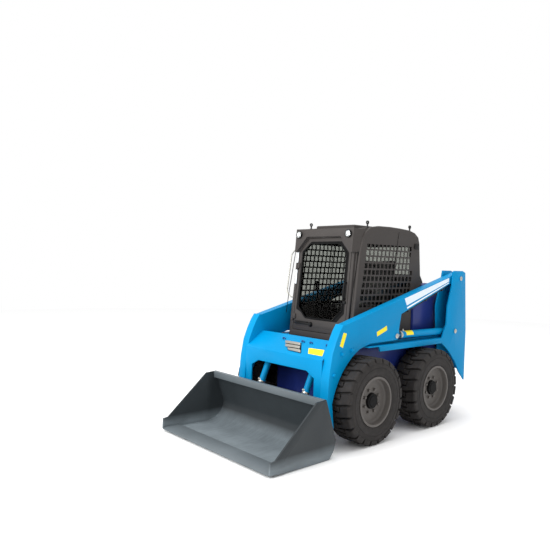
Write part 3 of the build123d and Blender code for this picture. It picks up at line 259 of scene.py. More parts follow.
def round_off(piece, width):
    """Rounds every sharp edge a little, as welding, folding and paint leave it."""
    modify(
        piece,
        "BEVEL",
        width=width,
        segments=2,
        limit_method="ANGLE",
        angle_limit=math.radians(SHARP),
        use_clamp_overlap=True,
        loop_slide=False,
    )
    return shade(piece, SHARP)


def round_where(piece, width, segments, wanted, sharper_than=30):
    """Rounds the sharp edges whose middle passes a test, to a larger radius."""
    limit = math.radians(sharper_than)
    edit(piece)

    def sharp(edge):
        if len(edge.link_faces) != 2 or edge.calc_face_angle(0.0) < limit:
            return False
        return wanted((edge.verts[0].co + edge.verts[1].co) / 2)

    pick(piece, "edges", sharp)
    bpy.ops.mesh.bevel(offset=width, segments=segments, affect="EDGES", clamp_overlap=True)
    rest()
    return piece


def joined(*pieces):
    """Several pieces as one."""
    select(*pieces)
    if len(pieces) > 1:
        bpy.ops.object.join()
    return pieces[0]


def duplicate(piece, place):
    """A copy with its own mesh, put in its place."""
    copy = piece.copy()
    copy.data = piece.data.copy()
    bpy.context.scene.collection.objects.link(copy)
    return put(copy, place)


def put(piece, place):
    """Moves a piece by a matrix and keeps its object at the origin."""
    select(piece)
    piece.matrix_world = place
    bpy.ops.object.transform_apply(location=True, rotation=True, scale=True)
    if place.determinant() < 0:
        edit(piece)
        bpy.ops.mesh.normals_make_consistent(inside=False)
        rest()
    return piece


def spread(piece, places):
    """One piece modelled once and set in several places, each copy with its own mesh, joined."""
    copies = [duplicate(piece, place) for place in places]
    bpy.data.objects.remove(piece)
    return joined(*copies)


MIRROR = Matrix.Scale(-1, 4, (1, 0, 0))


def both(piece):
    """A left-hand piece together with its mirror image."""
    return joined(piece, duplicate(piece, MIRROR))


def towards(direction, spot):
    """The matrix that stands a piece made along +Z on a spot, pointing in a direction."""
    return Matrix.Translation(spot) @ Vector(direction).to_track_quat("Z", "Y").to_matrix().to_4x4()


def along_x(points, x):
    """Points given as (y, z), on a plane across the machine."""
    return [(x, y, z) for y, z in points]


def fit(piece, name, body, finish, slot, *nodes):
    """Names a piece, gives it its finish and makes it ride on its body in place of its nodes; slot is not
    used.
    """
    piece.name = name
    piece.data.name = name
    piece.data.materials.clear()
    piece.data.materials.append(bpy.data.materials[finish])
    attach(piece, body)
    if nodes:
        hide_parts(*nodes)
    return piece


def merged(node, whole_faces=False):
    """A copy of a frame node, ready to work on, with its triangles merged into whole faces if wanted."""
    rest()
    piece = bpy.data.objects.new(node + "_copy", NODES[node].data.copy())
    bpy.context.scene.collection.objects.link(piece)
    edit(piece)
    if piece.data.has_custom_normals:
        bpy.ops.mesh.customdata_custom_splitnormals_clear()
    bpy.ops.mesh.remove_doubles(threshold=1e-5)
    if whole_faces:
        bpy.ops.mesh.dissolve_limited(angle_limit=math.radians(0.5))
    rest()
    return piece


# ---------------------------------------------------------------- finishes
def add_node(material, kind, sockets=None, **settings):
    """Adds a node with its settings; a socket gets a value, or a link given as (node, output)."""
    node = material.node_tree.nodes.new(kind)
    for key, value in settings.items():
        setattr(node, key, value)
    for key, value in (sockets or {}).items():
        if isinstance(value, tuple) and isinstance(value[0], bpy.types.Node):
            material.node_tree.links.new(value[0].outputs[value[1]], node.inputs[key])
        else:
            node.inputs[key].default_value = value
    return node


MIX_A, MIX_B, MIX_OUT = 6, 7, 2  # a colour Mix node's sockets


def start(name):
    """An empty material and its place on the piece."""
    material = bpy.data.materials.new(name)
    material.use_nodes = True
    material.node_tree.nodes.clear()
    return material, (add_node(material, "ShaderNodeTexCoord"), "Object")


def shine(material, tone, bump=None, **values):
    """Closes a material with its shader; tone is a colour or a link, values are the shader's own numbers."""
    sockets = {"Base Color": tone}
    if bump:
        sockets["Normal"] = bump
    for key, value in values.items():
        sockets[key.replace("_", " ").title().replace("Ior", "IOR")] = value
    shader = add_node(material, "ShaderNodeBsdfPrincipled", sockets)
    add_node(material, "ShaderNodeOutputMaterial", {"Surface": (shader, "BSDF")})
    return material


def noise(material, place, size, detail):
    """A noise with clouds about as large as size, as a link."""
    sockets = {"Vector": place, "Scale": 1 / size, "Detail": detail}
    return add_node(material, "ShaderNodeTexNoise", sockets), "Fac"


def levels(material, value, low, high, least=0.0, most=1.0):
    """Spreads a value between two levels over the range from least to most, as a link."""
    sockets = {"Value": value, "From Min": low, "From Max": high, "To Min": least, "To Max": most}
    return add_node(material, "ShaderNodeMapRange", sockets), "Result"


def patches(material, place, size, low, high):
    """A cloud of patches about as large as size, from 0 to 1 between two noise levels."""
    return levels(material, noise(material, place, size, 3.0), low, high)


def blend_tones(material, factor, first, second):
    """Mixes two colours, or links, by a factor."""
    sockets = {0: factor, MIX_A: first, MIX_B: second}
    return add_node(material, "ShaderNodeMix", sockets, data_type="RGBA"), MIX_OUT


def combined(material, operation, first, second):
    """Two linked values added or multiplied."""
    return add_node(material, "ShaderNodeMath", {0: first, 1: second}, operation=operation), "Value"


def bumps(material, heights, distance, strength=1.0):
    """A relief as high as distance where the linked heights are 1."""
    sockets = {"Height": heights, "Distance": distance, "Strength": strength}
    return add_node(material, "ShaderNodeBump", sockets), "Normal"


def grain(material, place, size, height):
    """A fine relief with grains about as large as size."""
    return bumps(material, noise(material, place, size, 2.0), height)


def tinted(base, share):
    """A colour scaled towards black or white."""
    return tuple(min(1.0, c * share) for c in base[:3]) + (1.0,)


def coated_steel(name, base, darker, lighter, roughness, coat=0.0, peel=0.009, relief=0.0002, gloss=0.3):
    """Powder-coated steel: even colour, broad soft patches and the slight orange peel of the cured powder."""
    material, place = start(name)
    cloud = patches(material, place, 0.35, 0.35, 0.7)
    return shine(
        material,
        blend_tones(material, cloud, tinted(base, darker), tinted(base, lighter)),
        grain(material, place, peel, relief),
        roughness=roughness,
        specular_ior_level=gloss,
        coat_weight=coat,
        coat_roughness=0.12,
    )


def worn_bucket_paint(name, paint, worn):
    """Painted plate rubbed by earth: a paler floor, scratches running fore and aft and dust in patches."""
    material, place = start(name)
    height = (add_node(material, "ShaderNodeSeparateXYZ", {"Vector": place}), "Z")
    near_floor = levels(material, height, 0.13, 0.05)
    stretched = add_node(material, "ShaderNodeMapping", {"Vector": place, "Scale": (90.0, 6.0, 30.0)})
    streaks = noise(material, (stretched, "Vector"), 1.0, 4.0)
    cloud = noise(material, place, 0.18, 5.0)
    rubbed = levels(material, combined(material, "ADD", streaks, cloud), 0.75, 1.25, 0.7)
    base = blend_tones(material, cloud, tinted(paint, 0.8), tinted(paint, 1.2))
    return shine(
        material,
        blend_tones(material, combined(material, "MULTIPLY", near_floor, rubbed), base, worn),
        grain(material, place, 0.012, 0.0003),
        roughness=0.48,
        specular_ior_level=0.25,
    )


def plain_grained(name, base, size, height, roughness, spread_of_tone=0.15, patch=0.08, **values):
    """A solid-coloured moulded, cast or rubber finish with a grain and slight patches."""
    material, place = start(name)
    cloud = patches(material, place, patch, 0.3, 0.7)
    tone = blend_tones(material, cloud, tinted(base, 1 - spread_of_tone), tinted(base, 1 + spread_of_tone))
    return shine(material, tone, grain(material, place, size, height), roughness=roughness, **values)


WAVE_PERIOD = math.pi / 10  # a Wave node's bands at scale 1, in metres


def hatched_vinyl(name, base, ink, pitch):
    """Printed vinyl film: white, with fine upright bars of the paint's blue a set pitch apart."""
    material, place = start(name)
    bars = add_node(
        material,
        "ShaderNodeTexWave",
        {"Vector": place, "Scale": WAVE_PERIOD / pitch},
        wave_type="BANDS",
        bands_direction="Y",
        wave_profile="SIN",
    )
    share = levels(material, (bars, "Fac"), 0.62, 0.8, 0.0, 0.4)
    tone = blend_tones(material, share, base, ink)
    return shine(material, tone, grain(material, place, 0.02, 0.0001), roughness=0.35, coat_weight=0.3)


def brushed_metal(name, base, roughness, stretch):
    """Bright metal with fine lines across it, as grinding or plating leaves."""
    material, place = start(name)
    stretched = add_node(material, "ShaderNodeMapping", {"Vector": place, "Scale": stretch})
    lines = noise(material, (stretched, "Vector"), 1.0, 2.0)
    tone = blend_tones(material, lines, tinted(base, 0.85), tinted(base, 1.1))
    return shine(material, tone, bumps(material, lines, 0.0002, 0.4), metallic=1.0, roughness=roughness)


def clear_pane(name, tint, roughness, ripple=0.0, size=0.1, ior=1.45):
    """Glass or clear moulding that tints what is seen through it, with a rippled face where it is moulded."""
    material, place = start(name)
    waves = noise(material, place, size, 1.0)
    bump = bumps(material, waves, ripple, 0.2) if ripple else None
    tone = blend_tones(material, waves, tinted(tint, 0.98), tinted(tint, 1.02))
    return shine(material, tone, bump, roughness=roughness, ior=ior, transmission_weight=1.0)


class LOADER_OT_finishes(bpy.types.Operator):
    """Mix the finishes"""

    bl_idname = "loader.finishes"
    bl_label = "Finishes"

    def execute(self, context):
        hue = context.scene.loader_colours
        # Powder coat, cured gloss: soft highlights and a faint peel on broad flat plates.
        coated_steel("powder_coat_light_blue", hue.light_blue, 0.95, 1.05, 0.42, gloss=0.08)
        # The same coat in navy: reads almost black where the light is low.
        coated_steel("powder_coat_navy", hue.navy, 0.85, 1.1, 0.42, coat=0.15)
        # Fine-textured coat: no mirror highlight, a dry even grey.
        coated_steel("textured_coat_cab_grey", hue.cab_grey, 0.93, 1.06, 0.62, peel=0.004, relief=0.0003)
        # Sprayed enamel rubbed by earth: pale streaked floor, darker untouched sides.
        worn_bucket_paint("rubbed_enamel_bucket", hue.bucket_grey, hue.bucket_worn)
        # Sprayed enamel kept from wear: the top lip and the blade.
        coated_steel("enamel_bucket_edge", tinted(hue.bucket_worn, 0.68), 0.9, 1.1, 0.45)
        # Painted casting: a sand-cast skin shows as a coarse soft grain.
        plain_grained("painted_casting", hue.cast_grey, 0.012, 0.0009, 0.6)
        # Engine paint: a plain mid grey with a slight metal gleam.
        plain_grained("painted_engine", linear("#8d908e"), 0.015, 0.0006, 0.5, metallic=0.3)
        # Wheel enamel: satin, a little dusty.
        coated_steel("wheel_enamel_grey", hue.rim_grey, 0.9, 1.1, 0.5)
        # Tyre rubber: dull, with a greyish bloom in patches.
        plain_grained("tyre_rubber", hue.rubber, 0.006, 0.0004, 0.78, 0.3, 0.05, specular_ior_level=0.35)
        # Hose and seal rubber: smoother and blacker than the tyres.
        plain_grained("hose_rubber", linear("#121212"), 0.006, 0.0001, 0.6, specular_ior_level=0.1)
        # Moulded ABS: spark-eroded grain, soft sheen.
        plain_grained("moulded_abs_black", linear("#161616"), 0.003, 0.0001, 0.5, specular_ior_level=0.2)
        # Seat vinyl: embossed hide grain with a slight sheen.
        seat_look = {"sheen_weight": 0.2, "specular_ior_level": 0.5}
        plain_grained("embossed_vinyl", hue.seat_black, 0.005, 0.0006, 0.5, **seat_look)
        # Oxide-blacked steel: dark with a low metal gleam.
        plain_grained("blacked_steel", linear("#242424"), 0.01, 0.0002, 0.45, metallic=0.4)
        # Hard chrome on the rods: ground across its length.
        brushed_metal("hard_chrome", linear("#d6d6d4"), 0.16, (400.0, 20.0, 20.0))
        # Zinc-plated fittings: greyer and duller than chrome.
        brushed_metal("zinc_plate", linear("#b9b7ae"), 0.34, (60.0, 60.0, 60.0))
        # Tinted safety glass: greys the view. Its index is below real glass, to mirror the room less.
        clear_pane("tinted_safety_glass", linear("#b8bab6"), 0.0, ior=1.12)
        # Moulded lamp glass: clear, with a ripple that breaks up the bowl behind it.
        clear_pane("clear_lamp_glass", linear("#f4f6f6"), 0.08, 0.002, 0.012)
        # Red acrylic: glows red where light comes through its fine ribs.
        clear_pane("red_lamp_acrylic", linear("#c01812"), 0.1, 0.002, 0.008)
        # Aluminised reflector bowl: bright and slightly dimpled.
        brushed_metal("lamp_reflector", linear("#f2f2f2"), 0.2, (90.0, 90.0, 90.0))
        # Cast vinyl film: flat gloss colour, no print.
        coated_steel("vinyl_film_yellow", hue.label_yellow, 0.97, 1.03, 0.35, peel=0.03, relief=0.0001)
        # The white film also makes the pillar's painted highlight.
        coated_steel("vinyl_film_white", hue.stripe_white, 0.97, 1.02, 0.35, peel=0.03, relief=0.0001)
        # Printed film: from afar its bars read as a pale blue haze along the wide stripe.
        hatched_vinyl("vinyl_film_hatched", hue.stripe_white, tinted(hue.light_blue, 1.4), 0.017)
        # Studio paper: matt and near white.
        paper = linear("#f9f9f9")
        plain_grained("studio_paper", paper, 0.02, 0.0001, 0.9, 0.002, 1.5, specular_ior_level=0.0)
        return {"FINISHED"}


# ---------------------------------------------------------------- plates carried over from the frame
SOFTENED = (  # node, name of the piece, finish, rounding in metres
    ("chassis", "tub_plates", "powder_coat_navy", 0.003),
    ("axle_stubs", "axle_tubes", "blacked_steel", 0.003),
    ("towers", "tower_plates", "powder_coat_light_blue", 0.003),
    ("rear_bumper", "counterweight", "painted_casting", 0.008),
    ("engine_block", "engine_casing", "painted_engine", 0.02),
    ("rear_hinge_pins", "rear_door_brackets", "blacked_steel", 0.001),
    ("engine_door", "rear_door_panel", "powder_coat_navy", 0.002),
    ("cab_floor", "footwell_plates", "textured_coat_cab_grey", 0.004),
    ("control_levers", "lever_pedestals", "moulded_abs_black", 0.004),
    ("cab_rear_wall", "cab_back_panel", "textured_coat_cab_grey", 0.004),
    ("coupler", "coupler_frame", "rubbed_enamel_bucket", 0.002),
    ("cutting_edge", "wear_blade", "enamel_bucket_edge", 0.002),
    ("cross_panel", "front_panel", "powder_coat_light_blue", 0.003),
)


class LOADER_OT_plates(bpy.types.Operator):
    """Round the edges of the frame's plates and give them their finish"""

    bl_idname = "loader.plates"
    bl_label = "Plates and castings"

    def execute(self, context):
        for node, name, finish, width in SOFTENED:
            piece = round_off(merged(node), width)
            fit(piece, name, BODY_OF[node], finish, SLOT_OF[node], node)
        return {"FINISHED"}


FINISH_OF_SLOT = {
    "light_blue": "powder_coat_light_blue",
    "navy": "powder_coat_navy",
    "cab_grey": "textured_coat_cab_grey",
    "bucket_grey": "rubbed_enamel_bucket",
    "cast_grey": "painted_casting",
    "engine": "painted_engine",
    "glass": "tinted_safety_glass",
    "seat_vinyl": "embossed_vinyl",
    "black_plastic": "moulded_abs_black",
    "lamp_clear": "clear_lamp_glass",
    "lamp_red": "red_lamp_acrylic",
    "black_steel": "blacked_steel",
    "chrome_rod": "hard_chrome",
    "tyre": "tyre_rubber",
    "rim_grey": "wheel_enamel_grey",
}
OWN_FINISH = {"grab_hoop": "zinc_plate"}  # where a node's finish isn't its slot's


class LOADER_OT_kept_nodes(bpy.types.Operator):
    """Give every node of the frame a procedural finish"""

    bl_idname = "loader.kept_nodes"
    bl_label = "Round bars and panes"

    def execute(self, context):
        for node, piece in NODES.items():
            finish = OWN_FINISH.get(node, FINISH_OF_SLOT[SLOT_OF[node]])
            for holder in piece.material_slots:
                holder.material = bpy.data.materials[finish]
        return {"FINISHED"}


# ---------------------------------------------------------------- cab
FACE_SILL = Vector((0, -0.236, 0.868))  # middle of the cab's front face at the sill
FACE_LEAN = math.atan2(0.094, 1.072)
FACE_UP = Vector((0, math.sin(FACE_LEAN), math.cos(FACE_LEAN)))
FACE_OUT = Vector((0, -math.cos(FACE_LEAN), math.sin(FACE_LEAN)))
CAB_OUTER_X = 0.420
VISOR_PROUD = 0.036


def on_face(x, up, out=0.0):
    """A point on the cab's leaning front face: across, up the face from the sill, and out of it."""
    return FACE_SILL + Vector((x, 0, 0)) + FACE_UP * up + FACE_OUT * out


def face_plate(points, out, thickness):
    """A plate parallel to the front face, outline given as (x, up)."""
    return plate([on_face(x, up, out) for x, up in points], FACE_OUT * thickness)


SIDE_SHEET = 0.026
SHEET_AT_HOLES = 0.005
SIDE_OUTLINE = (  # a cab side seen square on, as (y, z)
    (-0.214, 0.8553), (-0.196, 1.080), (-0.118, 1.735), (-0.086, 1.840), (-0.040, 1.915),
    (0.030, 1.960), (0.161, 1.977), (0.345, 1.980), (0.491, 1.976), (0.668, 1.966),
    (0.764, 1.944), (0.829, 1.902), (0.852, 1.840), (0.884, 1.506), (0.924, 1.450),
    (0.924, 1.428), (0.730, 1.285), (0.730, 0.8553),
)
HOLE, HOLE_PITCH = 0.046, 0.062
HOLES_FRONT, HOLES_REAR = 0.002, 0.712  # of the top row
HOLES_TOP, HOLES_BOTTOM = 1.775, 1.180
FRONT_SLANT = 0.17  # how far the rows start further forward for each metre down
THIN_FIELD = ((-0.170, 1.160), (0.715, 1.160), (0.715, 1.815), (-0.070, 1.815))


def pierce(side):
    """Cuts the grid of square holes through a cab side; the rows start on the leaning front edge."""
    half = HOLE / 2
    square = [(-half, -half), (half, -half), (half, half), (-half, half)]
    inside = CAB_OUTER_X - 2 * SIDE_SHEET
    punch = plate(along_x(square, inside), (3 * SIDE_SHEET, 0, 0))
    places = []
    for row in range(int((HOLES_TOP - HOLES_BOTTOM) / HOLE_PITCH) + 1):
        drop = row * HOLE_PITCH
        first = HOLES_FRONT - FRONT_SLANT * drop
        for column in range(int((HOLES_REAR - first) / HOLE_PITCH) + 1):
            places.append(Matrix.Translation((0, first + column * HOLE_PITCH, HOLES_TOP - drop)))
    cut(side, spread(punch, places))
    # Behind the holes the pressing is thin sheet, so it is cut back from the inside.
    cut(side, plate(along_x(THIN_FIELD, inside), (2 * SIDE_SHEET - SHEET_AT_HOLES, 0, 0)))


def visor_cheek():
    """The left cheek that closes the corner between the visor and the cab's side, as a closed shell."""
    rings = []
    for up, side_y in ((0.846, -0.104), (0.905, -0.096), (0.972, -0.072), (1.040, -0.026), (1.070, 0.004)):
        _, front, z = on_face(0.0, up, 0.0355)
        outer, inner = (0.4125, side_y, z), (0.3960, side_y + 0.004, z)
        rings.append(line_through([(0.3795, front, z), outer, inner, (0.3805, front + 0.040, z)]))
        close_ends(rings[-1])
        rest()
    piece = joined(*rings)
    edit_edges(piece)
    bpy.ops.mesh.bridge_edge_loops(type="SINGLE")
    bpy.ops.mesh.select_all(action="SELECT")
    bpy.ops.mesh.fill_holes(sides=0)
    return shade(close_up(piece), 25)


class LOADER_OT_cab_shell(bpy.types.Operator):
    """Shape the cab's pressed sides, roof, front hoop and door frame"""

    bl_idname = "loader.cab_shell"
    bl_label = "Cab shell"

    def execute(self, context):
        side = plate(along_x(SIDE_OUTLINE, CAB_OUTER_X - SIDE_SHEET), (SIDE_SHEET, 0, 0))

        def pressed_over(m):
            front, roof, back = m.y < -0.07, m.z > 1.9, m.y > 0.80 and m.z > 1.46
            return m.x > CAB_OUTER_X - 0.001 and m.z > 0.9 and (front or roof or back)

        round_where(side, 0.020, 5, pressed_over)
        pierce(side)
        side = shade(side, 30)
        fit(both(side), "cab_side_pressings", "machine", "textured_coat_cab_grey", "cab_grey", "cab_sides")

        roof = merged("cab_roof", whole_faces=True)
        round_where(roof, 0.012, 4, lambda m: abs(m.x) < 0.26 and m.z > 1.984)
        round_off(roof, 0.003)
        fit(roof, "roof_pressing", "machine", "textured_coat_cab_grey", "cab_grey", "cab_roof")

        hoop = merged("cab_front_frame")
        round_off(hoop, 0.003)
        fit(hoop, "front_hoop_weldment", "machine", "textured_coat_cab_grey", "cab_grey", "cab_front_frame")
        fit(both(visor_cheek()), "visor_cheeks", "machine", "textured_coat_cab_grey", "cab_grey")

        door = merged("cab_door")
        round_off(door, 0.004)
        fit(door, "door_frame_pressing", "front_door", "textured_coat_cab_grey", "cab_grey", "cab_door")
        return {"FINISHED"}


PANE_OUTLINE = (  # the door's pane, as (x, up the face)
    (-0.183, 0.185), (0.183, 0.185), (0.293, 0.290), (0.293, 0.835),
    (0.198, 0.933), (-0.198, 0.933), (-0.293, 0.835), (-0.293, 0.290),
)

PANE_BORDER = (  # outer edge of the black band round the pane
    (-0.100, 0.174), (0.235, 0.174), (0.320, 0.262), (0.320, 0.842),
    (0.214, 0.952), (-0.186, 0.952), (-0.302, 0.852), (-0.320, 0.264),
)


class LOADER_OT_door_trim(bpy.types.Operator):
    """Fit the door's seal, latch, lower pressing, wiper and the white strip painted on the pillar as its
    highlight
    """

    bl_idname = "loader.door_trim"
    bl_label = "Door trim"

    def execute(self, context):
        seal = tube([on_face(x, up, 0.001) for x, up in PANE_OUTLINE], 0.008, bend=0.02, closed=True)
        fit(seal, "pane_seal", "front_door", "hose_rubber", "black_plastic")

        border = face_plate(PANE_BORDER, -0.001, 0.0022)
        opening = face_plate(PANE_OUTLINE, -0.010, 0.020)
        cut(border, opening)
        fit(shade(border, 30), "pane_border", "front_door", "hose_rubber", "black_plastic")

        bar = [(-0.318, 0.118), (-0.082, 0.118), (-0.082, 0.132), (-0.318, 0.132)]
        arm = round_off(face_plate(bar, 0.014, 0.008), 0.002)
        pivot = put(
            turned(((0, 0), (0.024, 0), (0.024, 0.016), (0.017, 0.026), (0, 0.026)), 24),
            towards(FACE_OUT, on_face(-0.095, 0.125, 0.0)),
        )
        blade = tube([on_face(-0.31, 0.142, 0.012), on_face(-0.13, 0.142, 0.012)], 0.005)
        fit(joined(arm, pivot, blade), "wiper", "front_door", "moulded_abs_black", "black_plastic")

        rod = ((0.40, 0.0), (0.41, 0.035), (0.55, 0.035), (0.56, 0.0))
        grip = tube([on_face(0.318, up, out) for up, out in rod], 0.008, bend=0.015)
        lock = put(
            turned(((0, 0), (0.016, 0), (0.016, 0.012), (0.012, 0.016), (0, 0.016)), 24),
            towards(FACE_OUT, on_face(0.318, 0.37, 0.0)),
        )
        fit(joined(grip, lock), "door_latch", "front_door", "moulded_abs_black", "black_plastic")

        # A white film on the front of the right-hand pillar: a painted highlight, standing in for the light
        # caught by the pillar's rounded edge.
        strip = [(-0.376, 0.52), (-0.353, 0.52), (-0.353, 0.865), (-0.376, 0.865)]
        painted_highlight = round_off(face_plate(strip, 0.0, 0.0012), 0.0004)
        fit(painted_highlight, "pillar_tape", "machine", "vinyl_film_white", "cab_grey")

        ridge = [(-0.30, 0.098), (0.30, 0.098), (0.30, 0.158), (0.27, 0.172), (-0.27, 0.172), (-0.30, 0.158)]
        panel = face_plate(ridge, -0.002, 0.005)
        round_off(panel, 0.002)
        fit(panel, "door_lower_pressing", "front_door", "textured_coat_cab_grey", "cab_grey")
        return {"FINISHED"}


class LOADER_OT_cab_fittings(bpy.types.Operator):
    """Fit the small pieces of the cab's sides and roof"""

    bl_idname = "loader.cab_fittings"
    bl_label = "Cab fittings"

    def execute(self, context):
        x = CAB_OUTER_X
        seam = both(tube(along_x(((0.478, 1.935), (0.394, 1.501), (0.362, 1.272)), x - 0.0005), 0.003))
        fit(seam, "side_seam_beads", "machine", "hose_rubber", "cab_grey")

        box = [(0.752, 1.777), (0.830, 1.777), (0.830, 1.832), (0.752, 1.832)]
        vent = both(round_off(plate(along_x(box, x - 0.001), (0.012, 0, 0)), 0.004))
        fit(vent, "cab_vents", "machine", "moulded_abs_black", "black_plastic")

        # A black film 1 mm thick on each side, along the pillar's leaning edge: painted shadow, standing in
        # for the shaded slot between the pillar and the side.
        front = [(-0.150, 1.718), (-0.228, 1.311), (-0.262, 1.085)]
        slot = front + [(y + 0.009, z) for y, z in reversed(front)]
        shadow = both(round_off(plate(along_x(slot, x - 0.0005), (0.001, 0, 0)), 0.0003))
        fit(shadow, "pillar_slots", "machine", "hose_rubber", "black_plastic")
        return {"FINISHED"}


LAMP_RADIUS = 0.037


class LOADER_OT_lamps(bpy.types.Operator):
    """Build the head lamps and tail lamps"""

    bl_idname = "loader.lamps"
    bl_label = "Lamps"

    def execute(self, context):
        low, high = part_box("headlamps")
        radius = LAMP_RADIUS
        mouth, glass = radius - 0.006, radius - 0.0065
        up = ((low + high).z / 2 - FACE_SILL.z) / math.cos(FACE_LEAN)
        wall = ((mouth, 0.020), (radius - 0.003, 0.0215), (radius, 0.019), (radius, 0))
        bezel = turned(wall + ((0, 0), (0, 0.001), (mouth, 0.001), (mouth, 0.020)), 40)
        dish = ((0, 0.003), (0.012, 0.004), (0.024, 0.010), (glass, 0.017))
        bowl = turned(dish + ((glass, 0.0015), (0, 0.0015)), 40)
        dome = ((0, 0.0215), (0.014, 0.021), (0.026, 0.0195), (glass, 0.018))
        lens = turned(dome + ((glass, 0.016), (0.02, 0.018), (0, 0.019)), 40)
        bezels, bowls, lenses = [], [], []
        for _, sign in SIDES:
            place = towards(FACE_OUT, on_face(sign * (high.x - radius), up, VISOR_PROUD + 0.0003))
            bezels.append(duplicate(bezel, place))
            bowls.append(duplicate(bowl, place))
            lenses.append(duplicate(lens, place))
        for model in (bezel, bowl, lens):
            bpy.data.objects.remove(model)
        fit(joined(*bezels), "headlamp_bezels", "machine", "moulded_abs_black", "black_plastic", "headlamps")
        fit(joined(*bowls), "headlamp_bowls", "machine", "lamp_reflector", "lamp_clear")
        fit(joined(*lenses), "headlamp_lenses", "machine", "clear_lamp_glass", "lamp_clear")

        lamps = merged("tail_lamps", whole_faces=True)
        edit(lamps)
        pick(lamps, "faces", lambda f: f.normal.y > 0.9)
        bpy.ops.mesh.inset(thickness=0.006, depth=-0.002, use_individual=True)
        rest()
        round_off(lamps, 0.0015)
        fit(lamps, "tail_lamp_lenses", "machine", "red_lamp_acrylic", "lamp_red", "tail_lamps")
        return {"FINISHED"}


# ---------------------------------------------------------------- seat and controls
def cushion(centre, size, crown, cuts, lean=0.0):
    """A padded form: crowned on top, its sides pulled in between the corners, with a sewn channel pattern."""
    rest()
    bpy.ops.mesh.primitive_cube_add(size=1.0, location=(0, 0, 0))
    piece = bpy.context.active_object
    piece.scale = size
    bpy.ops.object.transform_apply(location=True, rotation=True, scale=True)
    edit(piece)
    bpy.ops.mesh.subdivide(number_cuts=cuts)
    rest()
    half = Vector(size) / 2
    for vertex in piece.data.vertices:
        u, v, w = (vertex.co[i] / half[i] for i in range(3))
        edge = (1 - u * u) * (1 - v * v)
        vertex.co.z += crown * edge * (1 if w > 0 else -0.15) * abs(w)
        vertex.co.x -= 0.05 * half.x * u * (1 - v * v) * abs(u)
        vertex.co.y -= 0.05 * half.y * v * (1 - u * u) * abs(v)
        if w > 0.9:
            channel = min(abs(u - 0.45), abs(u + 0.45))
            vertex.co.z -= 0.012 * math.exp(-((channel / 0.06) ** 2))
    modify(piece, "BEVEL", width=0.012, segments=3, limit_method="ANGLE", angle_limit=math.radians(50))
    modify(piece, "SUBSURF", levels=1, render_levels=1)
    turn = Matrix.Rotation(lean, 4, "X")
    return shade(put(piece, Matrix.Translation(centre) @ turn), 60)


class LOADER_OT_seat(bpy.types.Operator):
    """Upholster the seat"""

    bl_idname = "loader.seat"
    bl_label = "Seat"

    def execute(self, context):
        base = cushion((0, 0.41, 1.138), (0.43, 0.45, 0.085), 0.008, 11)
        fit(base, "seat_cushion", "machine", "embossed_vinyl", "seat_vinyl", "seat")
        back = cushion((0, 0.672, 1.42), (0.40, 0.46, 0.075), 0.006, 11, math.radians(76.5))
        fit(back, "seat_back", "machine", "embossed_vinyl", "seat_vinyl")
        under = [(0.19, 1.0905), (0.64, 1.0905), (0.66, 1.19), (0.76, 1.62)]
        over = [(0.745, 1.62), (0.64, 1.18), (0.60, 1.1), (0.19, 1.1)]
        pan = plate(along_x(under + over, -0.2), (0.4, 0, 0))
        fit(round_off(pan, 0.003), "seat_pan", "machine", "moulded_abs_black", "black_plastic")
        return {"FINISHED"}


class LOADER_OT_lever_grips(bpy.types.Operator):
    """Fit the drive levers' grips and boots"""

    bl_idname = "loader.lever_grips"
    bl_label = "Lever grips"

    def execute(self, context):
        folds = ((0.042, 0), (0.044, 0.010), (0.036, 0.016), (0.038, 0.026), (0.029, 0.032), (0.031, 0.042))
        boot = turned(((0, 0),) + folds + ((0.021, 0.050), (0, 0.050)), 32)
        boots = spread(boot, [Matrix.Translation((sign * 0.300, 0.108, 1.150)) for _, sign in SIDES])
        knob = ((0.020, 0), (0.023, 0.012), (0.021, 0.04), (0.025, 0.07), (0.024, 0.088), (0.014, 0.098))
        grip = turned(((0, 0),) + knob + ((0, 0.098),), 32)
        grips = spread(grip, [Matrix.Translation((sign * 0.290, 0.060, 1.318)) for _, sign in SIDES])
        fit(joined(boots, grips), "lever_boots_and_grips", "machine", "hose_rubber", "black_plastic")
        return {"FINISHED"}


# ---------------------------------------------------------------- engine end
class LOADER_OT_engine_cover(bpy.types.Operator):
    """Shape the engine cover and the rear door's louvres and handle"""

    bl_idname = "loader.engine_cover"
    bl_label = "Engine cover"

    def execute(self, context):
        hood = merged("engine_hood", whole_faces=True)
        low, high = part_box("engine_hood")

        def outer_fold(m):
            along_side = abs(m.x) > high.x - 0.001 and m.z > low.z + 0.01
            across = abs(m.x) < 0.001 and m.z > low.z + 0.01
            return (along_side or across) and m.y < high.y - 0.004 and m.y > low.y + 0.002

        round_where(hood, 0.014, 4, outer_fold, 12)
        round_off(hood, 0.001)
        fit(hood, "engine_cover_panels", "machine", "powder_coat_navy", "navy", "engine_hood")

        low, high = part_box("engine_door")
        slat_length, bank = 0.282, 0.165
        middle_z = (low.z + high.z) / 2 + 0.060
        section = ((0.0, 0.012), (0.003, 0.012), (0.028, -0.013), (0.025, -0.013))
        slat = plate(along_x(section, -slat_length / 2), (slat_length, 0, 0))
        front = low.y + 0.004
        heights = [middle_z + (row - 3) * 0.046 for row in range(7)]
        places = [Matrix.Translation((sign * bank, front, z)) for _, sign in SIDES for z in heights]
        slats = spread(slat, places)
        fit(slats, "rear_door_louvres", "rear_door", "powder_coat_navy", "navy")

        panel_y = low.y + 0.036
        rod = ((panel_y, 0.80), (panel_y + 0.032, 0.81), (panel_y + 0.032, 0.90), (panel_y, 0.91))
        grip = tube(along_x(rod, -0.36), 0.007, bend=0.012)
        fit(grip, "rear_door_handle", "rear_door", "moulded_abs_black", "black_plastic")
        return {"FINISHED"}


